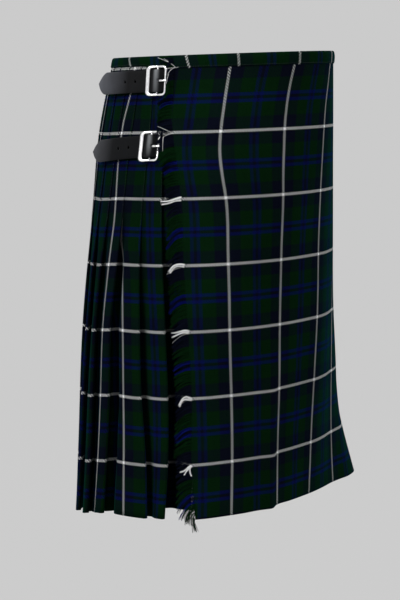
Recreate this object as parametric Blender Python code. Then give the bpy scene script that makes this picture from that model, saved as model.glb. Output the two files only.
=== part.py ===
# A Scottish kilt that keeps its worn shape with nobody in it. Metres, +Z up.
# The origin is the centre of the waist at the top edge. The wearer's front faces -Y and
# the wearer's right faces -X. Places on the cloth are given by three numbers: the drop down
# the cloth from the top edge, the arc round the body, forward from the wearer's right-most
# point, and the stand outward from the outer face of the cloth.
import math
from collections import namedtuple

import bmesh
import bpy
import numpy as np

# Cloth
KILT_LENGTH = 0.612
UNDER_LENGTH = 0.601
BACK_LENGTH = 0.610
CLOTH = 0.0011
SEAM = 0.0004
HANG = 0.992
LEAN_TOP = 0.0055
LEAN_HEM = 0.0037
LEAN_TURN = 0.205
LEAN_REACH = 0.16
BACK_DIP = 0.010
DIP_START = 0.050
DIP_RUN = 0.070
MITRE_LIMIT = 1.3

# Horizontal sections of the worn kilt: half width, depth of the front and back halves
# and the power of the rounded square that each section is
SECTION_COLUMNS = ("drop", "side", "front", "back", "power")
SECTIONS = (
    (0.000, 0.1480, 0.1564, 0.1486, 2.05),
    (0.100, 0.1603, 0.1549, 0.1726, 2.02),
    (0.190, 0.1798, 0.1492, 0.1756, 2.05),
    (0.360, 0.2063, 0.1422, 0.1854, 2.07),
    (0.530, 0.2272, 0.1360, 0.1784, 2.28),
    (0.612, 0.2398, 0.1376, 0.1748, 2.35),
)

# The apron kicks out at its lower left: where, how far and over what lengths
KICK_ARC = 0.490
KICK_REACH = 0.0195
KICK_TOP = 0.470
KICK_POWER = 1.35
KICK_FORE = 0.040
KICK_AFT = 0.070

# The apron's fringed right edge and folded left edge, as arcs
EDGE_COLUMNS = ("drop", "right", "left")
EDGES = (
    (0.000, 0.0117, 0.466),
    (0.050, 0.0119, 0.471),
    (0.100, 0.0152, 0.478),
    (0.150, 0.0290, 0.482),
    (0.200, 0.0402, 0.485),
    (0.280, 0.0490, 0.491),
    (0.360, 0.0600, 0.497),
    (0.450, 0.0705, 0.506),
    (0.540, 0.0760, 0.520),
    (0.612, 0.0880, 0.532),
)

# Knife pleats: the arcs of the first five fold edges from the apron back, and the spacing
# of the layers. The other folds share what is left, with some unevenness.
PLEATS = 18
FOLD_COLUMNS = ("drop", "fold1", "fold2", "fold3", "fold4", "fold5", "layer")
FOLDS = (
    (0.000, -0.0010, -0.0200, -0.0410, -0.0660, -0.0920, 0.0020),
    (0.100, 0.0030, -0.0200, -0.0530, -0.0820, -0.1080, 0.0020),
    (0.210, 0.0120, -0.0190, -0.0542, -0.0880, -0.1190, 0.0022),
    (0.280, 0.0196, -0.0165, -0.0590, -0.0980, -0.1290, 0.0036),
    (0.360, 0.0290, -0.0100, -0.0645, -0.1040, -0.1360, 0.0048),
    (0.450, 0.0385, -0.0012, -0.0580, -0.1005, -0.1400, 0.0056),
    (0.540, 0.0443, 0.0125, -0.0552, -0.0950, -0.1370, 0.0060),
    (0.612, 0.0458, 0.0208, -0.0528, -0.0920, -0.1340, 0.0062),
)
HIDDEN_SHARE = 0.65
CROWN_SHARE = 0.70
UNEVEN_SHARE = 0.16
UNEVEN_STEP = 2.4

# Rows and columns of the walls
ROWS = (0.0, 0.05, 0.10, 0.15, 0.20, 0.24, 0.29, 0.36, 0.44, 0.53)
APRON_ROWS = (0.0, 0.05, 0.10, 0.15, 0.20, 0.26, 0.33, 0.40, 0.46, 0.51, 0.56)
APRON_COLUMNS = 38
APRON_RETURN = 0.026
RETURN_DEPTH = 1.25
UNDER_COLUMNS = 24
UNDER_DEPTH = 0.0056
UNDER_EASE = 0.035
UNDER_END = 0.052
BAND_DROP = 0.0155
BAND_RISE = 0.0006
BAND_COLUMNS = 78
BAND_INNER_COLUMNS = 34
BAND_DIVE = 0.012
LAST_TUCK_SHARE = 0.4

# Fringe: locks on a narrow strip beside the apron's right edge
LOCKS = 168
FRINGE_STRIP = 0.0026
LOCK_REACH = 0.0135
LOCK_DROOP = 0.0165
LOCK_LIFT = 0.0024
STRAP_LIFT = 0.0054
TOP_TUFT = 0.0055
TOP_TUFT_DROOP = 0.003
TOP_TUFT_LIFT = 0.0040
LOCK_WIDTH = 0.0016
LOCK_SPREAD = 0.25
LOCK_BEND = 0.55
BEND_DROOP = 0.30
TIP_LIFT = 0.90
TIP_LIFT_SPREAD = 0.15
TUFT_LOCKS = 7
TUFT_STRETCH = 0.75
STRAP_CLEAR = 0.014
STRAP_BLEND = 0.006
BUCKLE_CLEAR = 0.004

# Straps and buckles. Runs go along the strap from the buckle's pin toward the tail.
STRAP_WIDTH = 0.030
LEATHER = 0.0022
CHAPE_LEATHER = 0.0010
CHAPE_WIDTH = 0.026
CHAPE_LONG = 0.026
CHAPE_MIDDLE = 0.010
CHAPE_TURNS = (-60.0, -30.0, 0.0, 30.0, 60.0, 90.0)
CHAPE_FALL = (0.0022, 0.78)
CHAPE_LAND = 0.0042
CHAPE_SHORT = 0.0076
SLIT_EASE = 0.0006
HOLE_RADIUS = 0.0019
HOLE_RUNS = (0.0370, 0.0560)
PRONG_SLOT = (-0.0085, -0.0022)
CHAPE_SLOT = (-0.0060, 0.0014)
CUT_REACH = 0.010
CUT_START = 0.0002
TIP_LENGTH = 0.020
TIP_SHARES = (1.0, 0.75, 0.5, 0.3, 0.15, 0.05, 0.0)
TIP_ROUND = 1.6
TIP_POWER = 0.80
TIP_HALF = 0.0015
STRAP_STEP = 0.009
STRAP_REST = 0.0003
BUCKLE_WIDTH = 0.0315
BUCKLE_HEIGHT = 0.0405
BUCKLE_CORNER = 0.0065
BUCKLE_BAR = 0.0029
BUCKLE_THICK = 0.0028
TAIL_BAR = 0.0056
PIN_RADIUS = 0.0011
PIN_STAND = 0.0031
FRAME_STAND = 0.0063
FRAME_DIP = 0.0035
FRAME_STEPS = 4
BAR_PROFILE = ((0.0, 0.0), (0.22, 0.5), (0.78, 0.5), (1.0, 0.0), (0.78, -0.5), (0.22, -0.5))
PRONG_WIDTH = 0.0030
PRONG_THICK = 0.0014
PRONG_REST = 0.0003
ROUND_SIDES = 8

# Strap runs under the apron's edge, counted from that edge, and where it has climbed out
TUCK_RUNS = (-0.020, -0.008, 0.0030)
CLIMB_RUN = 0.0080
CLIMB_SINK = 0.0007
SHORT_TUCK = ((0.0022, -0.0010), (0.0070, -0.0004))

# The strap over the pin and out to the tail: run, what it lies on, and the stand above that
STRAP_LINE = (
    (-0.0095, "cloth", 0.0006),
    (-0.0035, "pin", -0.0012),
    (0.0000, "pin", 0.0000),
    (0.0035, "pin", -0.0006),
    (0.0080, "lap", 0.0000),
    (0.0114, "chape", 0.0000),
    (0.0150, "chape", 0.0000),
    (0.0260, "chape", 0.0000),
)

# The rest of the tail: share of its length, share of the tip's stand, and the stand added
TAIL_LINE = (
    (0.40, 0.00, 0.0037),
    (0.70, 0.45, 0.0020),
    (1.00, 1.00, 0.0000),
)

# Prong: run, stand above the pin or above its rest on the frame's bar, and share of width
PRONG_LINE = (
    (-0.0015, "pin", 0.0006, 1.00),
    (-0.0050, "pin", 0.0026, 1.00),
    (-0.0105, "bar", -0.0004, 0.90),
    (-0.0140, "bar", 0.0000, 0.75),
    (-0.0172, "bar", -0.0004, 0.50),
)

# Where each fastening sits: its buckle's arc and drop, the tail's direction round the body,
# the drop that the tail gains and the tail's length and stand at its tip
Fastening = namedtuple("Fastening", "name arc drop turn sag tail tip_stand")
FASTENINGS = (
    Fastening("top", -0.0102, 0.0312, -1.0, 0.004, 0.118, 0.0150),
    Fastening("lower", -0.0136, 0.1180, -1.0, 0.009, 0.116, 0.0115),
    Fastening("left", 0.5050, 0.0312, 1.0, 0.004, 0.104, 0.0075),
)

TARTAN_GREEN = (0.006, 0.020, 0.012, 1.0)
TARTAN_NAVY = (0.004, 0.010, 0.018, 1.0)
BLACK_LEATHER = (0.012, 0.011, 0.013, 1.0)
BRIGHT_STEEL = (0.75, 0.75, 0.76, 1.0)

RING_STEPS = 720
RINGS = {}


def clear_scene():
    for item in list(bpy.data.objects):
        bpy.data.objects.remove(item)


# Smooth cubic through one named column of a table
def read_table(columns, rows, name, drop):
    at = np.array([row[0] for row in rows])
    value = np.array([row[columns.index(name)] for row in rows])
    slope = np.gradient(value, at)
    index = int(np.clip(np.searchsorted(at, drop) - 1, 0, len(at) - 2))
    span = at[index + 1] - at[index]
    part = (drop - at[index]) / span
    start = (2 * part ** 3 - 3 * part ** 2 + 1) * value[index]
    start_slope = (part ** 3 - 2 * part ** 2 + part) * span * slope[index]
    end = (3 * part ** 2 - 2 * part ** 3) * value[index + 1]
    end_slope = (part ** 3 - part ** 2) * span * slope[index + 1]
    return start + start_slope + end + end_slope


def section(drop, name):
    return read_table(SECTION_COLUMNS, SECTIONS, name, drop)


def edge(drop, name):
    return read_table(EDGE_COLUMNS, EDGES, name, drop)


def fold(drop, name):
    return read_table(FOLD_COLUMNS, FOLDS, name, drop)


def arc_lengths(across, along):
    steps = np.hypot(np.diff(across), np.diff(along))
    return np.concatenate([[0.0], np.cumsum(steps)])


def outward(across, along):
    run = np.stack([np.gradient(along), -np.gradient(across)], axis=1)
    return run / np.linalg.norm(run, axis=1, keepdims=True)


# One horizontal section of the outer face: points, arcs from the right-most point, normals
def ring(drop):
    key = round(drop, 6)
    if key in RINGS:
        return RINGS[key]
    angle = np.linspace(0.0, 2.0 * math.pi, RING_STEPS + 1)
    power = 2.0 / section(drop, "power")
    cosine = np.cos(angle)
    sine = np.sin(angle)
    depth = np.where(sine < 0.0, section(drop, "front"), section(drop, "back"))
    across = section(drop, "side") * np.sign(cosine) * np.abs(cosine) ** power
    along = depth * np.sign(sine) * np.abs(sine) ** power
    arcs = arc_lengths(across, along)
    arcs = arcs - np.interp(math.pi, angle, arcs)
    lower = np.clip((drop - KICK_TOP) / (KILT_LENGTH - KICK_TOP), 0.0, 1.0) ** KICK_POWER
    away = arcs - KICK_ARC
    width = np.where(away < 0.0, KICK_FORE, KICK_AFT)
    kick = KICK_REACH * lower * np.exp(-0.5 * (away / width) ** 2)
    normal = outward(across, along)
    across = across + normal[:, 0] * kick
    along = along + normal[:, 1] * kick
    across[-1] = across[0]
    along[-1] = along[0]
    arcs = arc_lengths(across, along)
    arcs = arcs - np.interp(math.pi, angle, arcs)
    lean = LEAN_TOP + (LEAN_HEM - LEAN_TOP) * drop / KILT_LENGTH
    height = -HANG * drop - lean * (along - LEAN_TURN * across) / LEAN_REACH
    behind = np.clip((along - DIP_START) / DIP_RUN, 0.0, 1.0)
    height = height - BACK_DIP * drop / KILT_LENGTH * behind ** 2 * (3.0 - 2.0 * behind)
    RINGS[key] = (np.stack([across, along, height], axis=1), arcs, outward(across, along))
    return RINGS[key]


def girth(drop):
    arcs = ring(drop)[1]
    return arcs[-1] - arcs[0]


# Points at one drop: arcs round the body and stands outward from the outer face
def place(drop, arcs, stands):
    points, known, normal = ring(drop)
    arcs = (np.atleast_1d(arcs) - known[0]) % girth(drop) + known[0]
    stands = np.broadcast_to(np.atleast_1d(stands), arcs.shape)
    spot = np.stack([np.interp(arcs, known, points[:, axis]) for axis in range(3)], axis=1)
    lift = np.stack([np.interp(arcs, known, normal[:, axis]) for axis in range(2)], axis=1)
    spot[:, :2] += lift * stands[:, None]
    return spot


def place_one(drop, arc, stand):
    return place(drop, arc, stand)[0]


def make_material(name, colour, roughness, metallic):
    material = bpy.data.materials.new(name)
    material.use_nodes = True
    shader = material.node_tree.nodes["Principled BSDF"]
    shader.inputs["Base Color"].default_value = colour
    shader.inputs["Roughness"].default_value = roughness
    shader.inputs["Metallic"].default_value = metallic
    return material


def add_object(name, points, faces, material):
    mesh = bpy.data.meshes.new(name)
    mesh.from_pydata([tuple(point) for point in points], [], faces)
    work = bmesh.new()
    work.from_mesh(mesh)
    bmesh.ops.triangulate(work, faces=work.faces[:])
    bmesh.ops.recalc_face_normals(work, faces=work.faces[:])
    work.to_mesh(mesh)
    work.free()
    mesh.materials.append(material)
    made = bpy.data.objects.new(name, mesh)
    bpy.context.collection.objects.link(made)
    return made


# Closed wall between two grids of points, rows by columns
def add_wall(name, face, back, material):
    rows, columns = face.shape[:2]
    points = np.concatenate([face.reshape(-1, 3), back.reshape(-1, 3)])
    shift = rows * columns
    faces = []
    for row in range(rows - 1):
        for column in range(columns - 1):
            here = row * columns + column
            quad = (here, here + 1, here + columns + 1, here + columns)
            faces.append(quad)
            faces.append(tuple(shift + corner for corner in reversed(quad)))
    rim = [column for column in range(columns)]
    rim += [row * columns + columns - 1 for row in range(1, rows)]
    rim += [(rows - 1) * columns + column for column in range(columns - 2, -1, -1)]
    rim += [row * columns for row in range(rows - 2, 0, -1)]
    for here, there in zip(rim, rim[1:] + rim[:1]):
        faces.append((there, here, shift + here, shift + there))
    return add_object(name, points, faces, material)


# The two faces of cloth whose middle follows a path of arcs and stands
def cloth_faces(path, thickness):
    path = np.array(path)
    step = np.diff(path, axis=0)
    unit = step / np.linalg.norm(step, axis=1, keepdims=True)
    both = np.vstack([unit[:1], unit]) + np.vstack([unit, unit[-1:]])
    normal = np.stack([-both[:, 1], both[:, 0]], axis=1)
    size = np.linalg.norm(normal, axis=1, keepdims=True)
    mitre = normal / size * np.minimum(2.0 / size, MITRE_LIMIT)
    return path + mitre * thickness / 2, path - mitre * thickness / 2


# Wall of cloth from one path for each drop
def add_cloth(name, drops, path_at, material):
    face = []
    back = []
    for drop in drops:
        front_path, back_path = cloth_faces(path_at(drop), CLOTH)
        face.append(place(drop, front_path[:, 0], front_path[:, 1]))
        back.append(place(drop, back_path[:, 0], back_path[:, 1]))
    return add_wall(name, np.array(face), np.array(back), material)


# Arcs of all fold edges at a drop, the first by the apron, with the apron's own left fold last
def fold_arcs(drop):
    first = [fold(drop, "fold%d" % number) for number in range(1, 6)]
    last = edge(drop, "left") - girth(drop)
    count = PLEATS + 1 - len(first)
    pitch = (first[-1] - last) / count
    open_share = np.clip(drop / KILT_LENGTH, 0.0, 1.0)
    arcs = list(first)
    for number in range(1, count):
        uneven = UNEVEN_SHARE * open_share * math.sin(UNEVEN_STEP * number)
        arcs.append(first[-1] - pitch * (number + uneven))
    arcs.append(last)
    return arcs


# Depth of a strip's middle below its fold edge, at a share of its width back from the fold
def strip_depth(share, layer):
    return np.interp(share, (0.0, 0.5, 1.0), (0.0, CROWN_SHARE * layer, 2.0 * layer))


# The pleats' path runs forward: out from under the next fold, along the strip, round its
# fold edge, back underneath and round the inner fold
def pleat_path(drop):
    arcs = fold_arcs(drop)
    layer = fold(drop, "layer")
    tip = layer / 2.0
    middle = -CLOTH / 2
    path = []
    for number in range(PLEATS, 0, -1):
        own = arcs[number - 1]
        behind = arcs[number]
        if number == PLEATS:
            span = APRON_RETURN
            depth = 2.0 * layer + strip_depth(LAST_TUCK_SHARE, layer)
            path.append((behind - span, middle - depth))
        width = own - behind
        path.append((behind, middle - 2.0 * layer))
        path.append(((own + behind) / 2.0, middle - CROWN_SHARE * layer))
        path.append((own - tip, middle))
        path.append((own, middle - layer / 2.0))
        path.append((own - tip, middle - layer))
        depth = strip_depth(HIDDEN_SHARE, layer)
        inner = own - HIDDEN_SHARE * width
        path.append((inner, middle - layer - depth))
        if number > 1:
            path.append((inner, middle - 2.0 * layer - depth))
    return path


def apron_path(drop):
    start = edge(drop, "right")
    end = edge(drop, "left")
    layer = fold(drop, "layer")
    tip = layer / 2.0
    middle = -CLOTH / 2
    arcs = np.linspace(start, end - tip, APRON_COLUMNS)
    path = [(arc, middle) for arc in arcs]
    path.append((end, middle - layer / 2.0))
    path.append((end - tip, middle - layer))
    path.append((end - APRON_RETURN, middle - RETURN_DEPTH * layer))
    return path


def under_depth(drop, ahead):
    layer = fold(drop, "layer")
    start = max(2.0 * layer, UNDER_DEPTH)
    return UNDER_DEPTH + (start - UNDER_DEPTH) * math.exp(-max(ahead, 0.0) / UNDER_EASE)


def under_path(drop):
    arcs = fold_arcs(drop)
    layer = fold(drop, "layer")
    width = arcs[0] - arcs[1]
    hidden = HIDDEN_SHARE * width
    middle = -CLOTH / 2
    deep = max(2.0 * layer, UNDER_DEPTH) + strip_depth(HIDDEN_SHARE, layer)
    path = [(arcs[0] - hidden, middle - deep)]
    end = edge(drop, "left") - UNDER_END
    for arc in np.linspace(arcs[0], end, UNDER_COLUMNS):
        path.append((arc, middle - under_depth(drop, arc - arcs[0])))
    return path


def make_panels(green, navy):
    add_cloth("apron", APRON_ROWS + (KILT_LENGTH,), apron_path, green)
    add_cloth("under_apron", ROWS + (UNDER_LENGTH,), under_path, navy)
    add_cloth("pleated_back", ROWS + (BACK_LENGTH,), pleat_path, green)


# The band runs from the apron's right edge round the whole top, then down on to the under
# apron and under the apron
def band_path(drop):
    stand = SEAM + CLOTH / 2
    start = edge(drop, "right")
    turn = fold(drop, "fold1") + girth(drop)
    end = edge(drop, "left") - UNDER_END + girth(drop)
    low = stand - UNDER_DEPTH
    outer = np.linspace(start, turn, BAND_COLUMNS)
    inner = np.linspace(turn + BAND_DIVE, end, BAND_INNER_COLUMNS)
    path = [(arc, stand) for arc in outer]
    path += [(arc, low) for arc in inner]
    return path


def make_band(material):
    add_cloth("waistband", (-BAND_RISE, BAND_DROP), band_path, material)


def unit(vector):
    return vector / np.linalg.norm(vector)


# Corner points of the apron's right edge between its rows, with the directions back,
# outward and down the cloth there
def apron_edge(drop):
    drops = np.array(APRON_ROWS + (KILT_LENGTH,))
    outer = []
    inner = []
    for known in drops:
        front_path, back_path = cloth_faces(apron_path(known), CLOTH)
        outer.append(place_one(known, front_path[0, 0], front_path[0, 1]))
        inner.append(place_one(known, back_path[0, 0], back_path[0, 1]))
    outer = np.array(outer)
    inner = np.array(inner)
    outer_point = np.array([np.interp(drop, drops, outer[:, axis]) for axis in range(3)])
    inner_point = np.array([np.interp(drop, drops, inner[:, axis]) for axis in range(3)])
    arc = edge(drop, "right")
    back = unit(place_one(drop, arc - 0.004, 0.0) - place_one(drop, arc, 0.0))
    down = unit(place_one(drop + 0.01, arc - 0.006, 0.0) - place_one(drop, arc - 0.006, 0.0))
    return outer_point, inner_point, back, unit(outer_point - inner_point), down


# How near a drop is to a strap at the apron's fringed edge, from 0 to 1, and the room there
# between that edge and the buckle
def strap_nearness(drop):
    near = 0.0
    room = 1.0
    for fastening in FASTENINGS:
        away = abs(drop - fastening.drop + LOCK_DROOP / 3)
        share = (STRAP_WIDTH / 2 + STRAP_CLEAR - away) / STRAP_BLEND
        share = float(np.clip(share, 0.0, 1.0))
        if fastening.turn < 0.0 and share > near:
            near = share
            room = edge(fastening.drop, "right") - fastening.arc - BUCKLE_WIDTH / 2
            room = room - FRINGE_STRIP - BUCKLE_CLEAR
    return near, room


def make_fringe(material):
    drops = np.linspace(0.0005, KILT_LENGTH, LOCKS + 1)
    stations = [apron_edge(drop) for drop in drops]
    chance = np.random.default_rng(7)
    points = []
    for outer, inner, back, out, down in stations:
        points.append(outer + back * SEAM)
        points.append(outer + back * (SEAM + FRINGE_STRIP))
        points.append(inner + back * (SEAM + FRINGE_STRIP))
        points.append(inner + back * SEAM)
    faces = []
    for index in range(LOCKS):
        here = 4 * index
        there = here + 4
        faces.append((here, there, there + 1, here + 1))
        faces.append((here + 3, here + 2, there + 2, there + 3))
        faces.append((here, here + 3, there + 3, there))
    faces.append((0, 1, 2, 3))
    last = 4 * LOCKS
    faces.append((last + 3, last + 2, last + 1, last))
    for index in range(LOCKS):
        outer, inner, back, out, down = stations[index]
        root = sum(points[4 * index + corner] for corner in (1, 2, 5, 6)) / 4
        near, room = strap_nearness(drops[index])
        wobble = chance.uniform(-1.0, 1.0, 4)
        reach = LOCK_REACH * (1.0 + LOCK_SPREAD * wobble[0])
        droop = LOCK_DROOP * (1.0 + LOCK_SPREAD * wobble[1])
        lift = LOCK_LIFT * (1.0 + LOCK_SPREAD * wobble[2])
        if drops[index] < TOP_TUFT:
            droop = TOP_TUFT_DROOP * (1.0 + LOCK_SPREAD * wobble[1])
            lift = TOP_TUFT_LIFT
        elif near > 0.0:
            reach = min(reach, reach + (room - reach) * near)
            lift = lift + (STRAP_LIFT - lift) * near
        below = max(index - (LOCKS - TUFT_LOCKS), 0) / TUFT_LOCKS
        droop = droop * (1.0 + TUFT_STRETCH * below)
        middle = root + back * reach * LOCK_BEND + down * droop * BEND_DROOP + out * lift
        tip_lift = lift * (TIP_LIFT + TIP_LIFT_SPREAD * wobble[3])
        tip = root + back * reach + down * droop + out * tip_lift
        half_up = down * LOCK_WIDTH / 2
        half_out = out * LOCK_WIDTH / 3
        first = len(points)
        points.append(middle - half_up + half_out)
        points.append(middle + half_up + half_out)
        points.append(middle + half_up - half_out)
        points.append(middle - half_up - half_out)
        points.append(tip)
        ring_root = (4 * index + 1, 4 * index + 5, 4 * index + 6, 4 * index + 2)
        for side in range(4):
            after = (side + 1) % 4
            faces.append((ring_root[side], ring_root[after], first + after, first + side))
            faces.append((first + side, first + after, first + 4))
    add_object("apron_fringe", points, faces, material)


# A spot near a buckle: run along the strap toward the tail, rise up its width, and stand
def strap_spot(fastening, run, rise, stand):
    share = max(run, 0.0) / fastening.tail
    drop = fastening.drop + fastening.sag * share - rise
    return place_one(drop, fastening.arc + fastening.turn * run, stand)


# Middle line of a strap: from under the apron's edge, under the near bar, over the pin,
# under the far bar and out to the tip
def strap_line(fastening):
    chape = PIN_STAND - PIN_RADIUS + LEATHER / 2
    lies_on = {
        "cloth": SEAM + STRAP_REST + LEATHER / 2,
        "pin": PIN_STAND + PIN_RADIUS + SEAM + CHAPE_LEATHER + SEAM + LEATHER / 2,
        "lap": chape + CHAPE_LEATHER + SEAM,
        "chape": chape,
    }
    if fastening.turn < 0.0:
        edge_run = fastening.arc - edge(fastening.drop - STRAP_WIDTH / 2, "right")
        tucked = -CLOTH - SEAM - LEATHER / 2
        line = [(edge_run + run, tucked) for run in TUCK_RUNS]
    else:
        edge_run = edge(fastening.drop, "left") - fastening.arc
        line = [(edge_run + run, stand) for run, stand in SHORT_TUCK]
    line.append((edge_run + CLIMB_RUN, lies_on["cloth"] - CLIMB_SINK))
    line += [(run, lies_on[what] + above) for run, what, above in STRAP_LINE]
    for share, tip_share, above in TAIL_LINE:
        line.append((share * fastening.tail, tip_share * fastening.tip_stand + above))
    return np.array(line)


def strap_samples(fastening):
    line = strap_line(fastening)
    tip_start = fastening.tail - TIP_LENGTH
    runs = []
    for before, after in zip(line[:-1, 0], line[1:, 0]):
        pieces = max(1, int(round((after - before) / STRAP_STEP)))
        runs += list(np.linspace(before, after, pieces, endpoint=False))
    runs = [run for run in runs if run < tip_start - CLOTH]
    runs += [fastening.tail - TIP_LENGTH * share for share in TIP_SHARES]
    runs = np.array(runs)
    stands = np.interp(runs, line[:, 0], line[:, 1])
    return runs, stands


def add_band_along(name, fastening, runs, stands, halves, thickness, material):
    path = np.stack([runs, stands], axis=1)
    step = np.gradient(path, axis=0)
    step = step / np.linalg.norm(step, axis=1, keepdims=True)
    normal = np.stack([-step[:, 1], step[:, 0]], axis=1)
    top = path + normal * thickness / 2
    bottom = path - normal * thickness / 2
    grids = []
    for side in (top, bottom):
        lower = [strap_spot(fastening, p[0], -h, p[1]) for p, h in zip(side, halves)]
        upper = [strap_spot(fastening, p[0], h, p[1]) for p, h in zip(side, halves)]
        grids.append(np.array([lower, upper]))
    return add_wall(name, grids[0], grids[1], material)


def cut_round(target, centre, axis, radius, depth):
    up = np.array((0.0, 0.0, 1.0))
    side = unit(np.cross(axis, up))
    up = np.cross(side, axis)
    points = []
    for end in (-0.5, 0.5):
        for index in range(ROUND_SIDES):
            turn = 2.0 * math.pi * (index + 0.5) / ROUND_SIDES
            around = side * math.cos(turn) + up * math.sin(turn)
            points.append(centre + around * radius + axis * depth * end)
    cut_with(target, points, ROUND_SIDES)


# Slit for the prong, between two runs along the strap and two stands
def cut_slit(target, fastening, runs, stands):
    half = PRONG_WIDTH / 2 + SLIT_EASE
    corners = ((runs[0], -half), (runs[0], half), (runs[1], half), (runs[1], -half))
    points = []
    for stand in stands:
        points += [strap_spot(fastening, run, rise, stand) for run, rise in corners]
    cut_with(target, points, len(corners))


# Boolean cut by a prism whose two end outlines are given one after the other
def cut_with(target, points, sides):
    faces = [tuple(range(sides)), tuple(range(2 * sides - 1, sides - 1, -1))]
    for index in range(sides):
        after = (index + 1) % sides
        faces.append((index, sides + index, sides + after, after))
    cutter = add_object(target.name + "_cutter", points, faces, target.data.materials[0])
    cutter.hide_render = True
    cutter.display_type = "WIRE"
    boolean = target.modifiers.new("Cut", "BOOLEAN")
    boolean.operation = "DIFFERENCE"
    boolean.object = cutter


def strap_normal(fastening, run):
    inner = strap_spot(fastening, run, 0.0, 0.0)
    return unit(strap_spot(fastening, run, 0.0, 0.01) - inner)


def make_strap(fastening, material):
    runs, stands = strap_samples(fastening)
    into_tip = np.clip((runs - fastening.tail) / TIP_LENGTH + 1.0, 0.0, 1.0)
    halves = STRAP_WIDTH / 2 * np.maximum(1.0 - into_tip ** TIP_ROUND, 0.0) ** TIP_POWER
    halves = np.maximum(halves, TIP_HALF)
    name = "strap_" + fastening.name
    made = add_band_along(name, fastening, runs, stands, halves, LEATHER, material)
    line = strap_line(fastening)
    for run in HOLE_RUNS:
        stand = np.interp(run, line[:, 0], line[:, 1])
        centre = strap_spot(fastening, run, 0.0, stand)
        cut_round(made, centre, strap_normal(fastening, run), HOLE_RADIUS, CUT_REACH)
    cut_slit(made, fastening, PRONG_SLOT, (-CUT_START, CUT_REACH))


# Stand of the buckle's frame: low at the pin, high at the two end bars
def frame_stand(run):
    share = min(abs(run) / (BUCKLE_WIDTH / 2), 1.0)
    return PIN_STAND + (FRAME_STAND - PIN_STAND) * (1.0 - (1.0 - share) ** 2)


# Rectangle with round corners, with extra points where the long bars dip to the pin
def rounded_outline(left, right, half_height, corner):
    outline = []
    reach = half_height - corner
    centres = ((right - corner, reach, 0.0), (left + corner, reach, 0.5))
    centres += ((left + corner, -reach, 1.0), (right - corner, -reach, 1.5))
    for run, rise, start in centres:
        for index in range(FRAME_STEPS + 1):
            turn = math.pi * (start + 0.5 * index / FRAME_STEPS)
            outline.append((run + corner * math.cos(turn), rise + corner * math.sin(turn)))
        if start == 0.0:
            outline += [(dip, half_height) for dip in (FRAME_DIP, 0.0, -FRAME_DIP)]
        if start == 1.0:
            outline += [(dip, -half_height) for dip in (-FRAME_DIP, 0.0, FRAME_DIP)]
    return outline


def make_frame(fastening, material):
    half_width = BUCKLE_WIDTH / 2
    half_height = BUCKLE_HEIGHT / 2
    outer = rounded_outline(-half_width, half_width, half_height, BUCKLE_CORNER)
    inner = rounded_outline(-half_width + BUCKLE_BAR, half_width - TAIL_BAR,
                            half_height - BUCKLE_BAR, BUCKLE_CORNER - BUCKLE_BAR)
    points = []
    for (run_out, rise_out), (run_in, rise_in) in zip(outer, inner):
        for share, thick in BAR_PROFILE:
            run = run_out + (run_in - run_out) * share
            rise = rise_out + (rise_in - rise_out) * share
            stand = frame_stand(run) + thick * BUCKLE_THICK
            points.append(strap_spot(fastening, run, rise, stand))
    count = len(outer)
    size = len(BAR_PROFILE)
    faces = []
    for index in range(count):
        after = (index + 1) % count
        for side in range(size):
            nxt = (side + 1) % size
            faces.append((index * size + side, after * size + side,
                          after * size + nxt, index * size + nxt))
    frame = add_object("buckle_" + fastening.name, points, faces, material)
    pin = make_pin(fastening, material)
    union = frame.modifiers.new("Pin", "BOOLEAN")
    union.operation = "UNION"
    union.object = pin
    pin.hide_render = True
    pin.display_type = "WIRE"


def make_pin(fastening, material):
    reach = BUCKLE_HEIGHT / 2 - BUCKLE_BAR / 2
    points = []
    for rise in (-reach, reach):
        for index in range(ROUND_SIDES):
            turn = 2.0 * math.pi * (index + 0.5) / ROUND_SIDES
            run = PIN_RADIUS * math.cos(turn)
            stand = PIN_STAND + PIN_RADIUS * math.sin(turn)
            points.append(strap_spot(fastening, run, rise, stand))
    faces = [tuple(range(ROUND_SIDES))]
    faces.append(tuple(range(2 * ROUND_SIDES - 1, ROUND_SIDES - 1, -1)))
    for index in range(ROUND_SIDES):
        after = (index + 1) % ROUND_SIDES
        faces.append((index, ROUND_SIDES + index, ROUND_SIDES + after, after))
    return add_object("pin_" + fastening.name, points, faces, material)


def make_prong(fastening, material):
    bar_top = FRAME_STAND + BUCKLE_THICK / 2 + PRONG_REST + PRONG_THICK / 2
    lies_on = {"pin": PIN_STAND, "bar": bar_top}
    points = []
    for run, what, above, share in PRONG_LINE:
        stand = lies_on[what] + above
        half = PRONG_WIDTH / 2 * share
        for rise, thick in ((-half, 0.5), (half, 0.5), (half, -0.5), (-half, -0.5)):
            points.append(strap_spot(fastening, run, rise, stand + thick * PRONG_THICK))
    faces = [(0, 1, 2, 3)]
    last = 4 * (len(PRONG_LINE) - 1)
    faces.append((last + 3, last + 2, last + 1, last))
    for index in range(len(PRONG_LINE) - 1):
        for side in range(4):
            nxt = (side + 1) % 4
            here = 4 * index
            faces.append((here + side, here + 4 + side, here + 4 + nxt, here + nxt))
    add_object("prong_" + fastening.name, points, faces, material)


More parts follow.
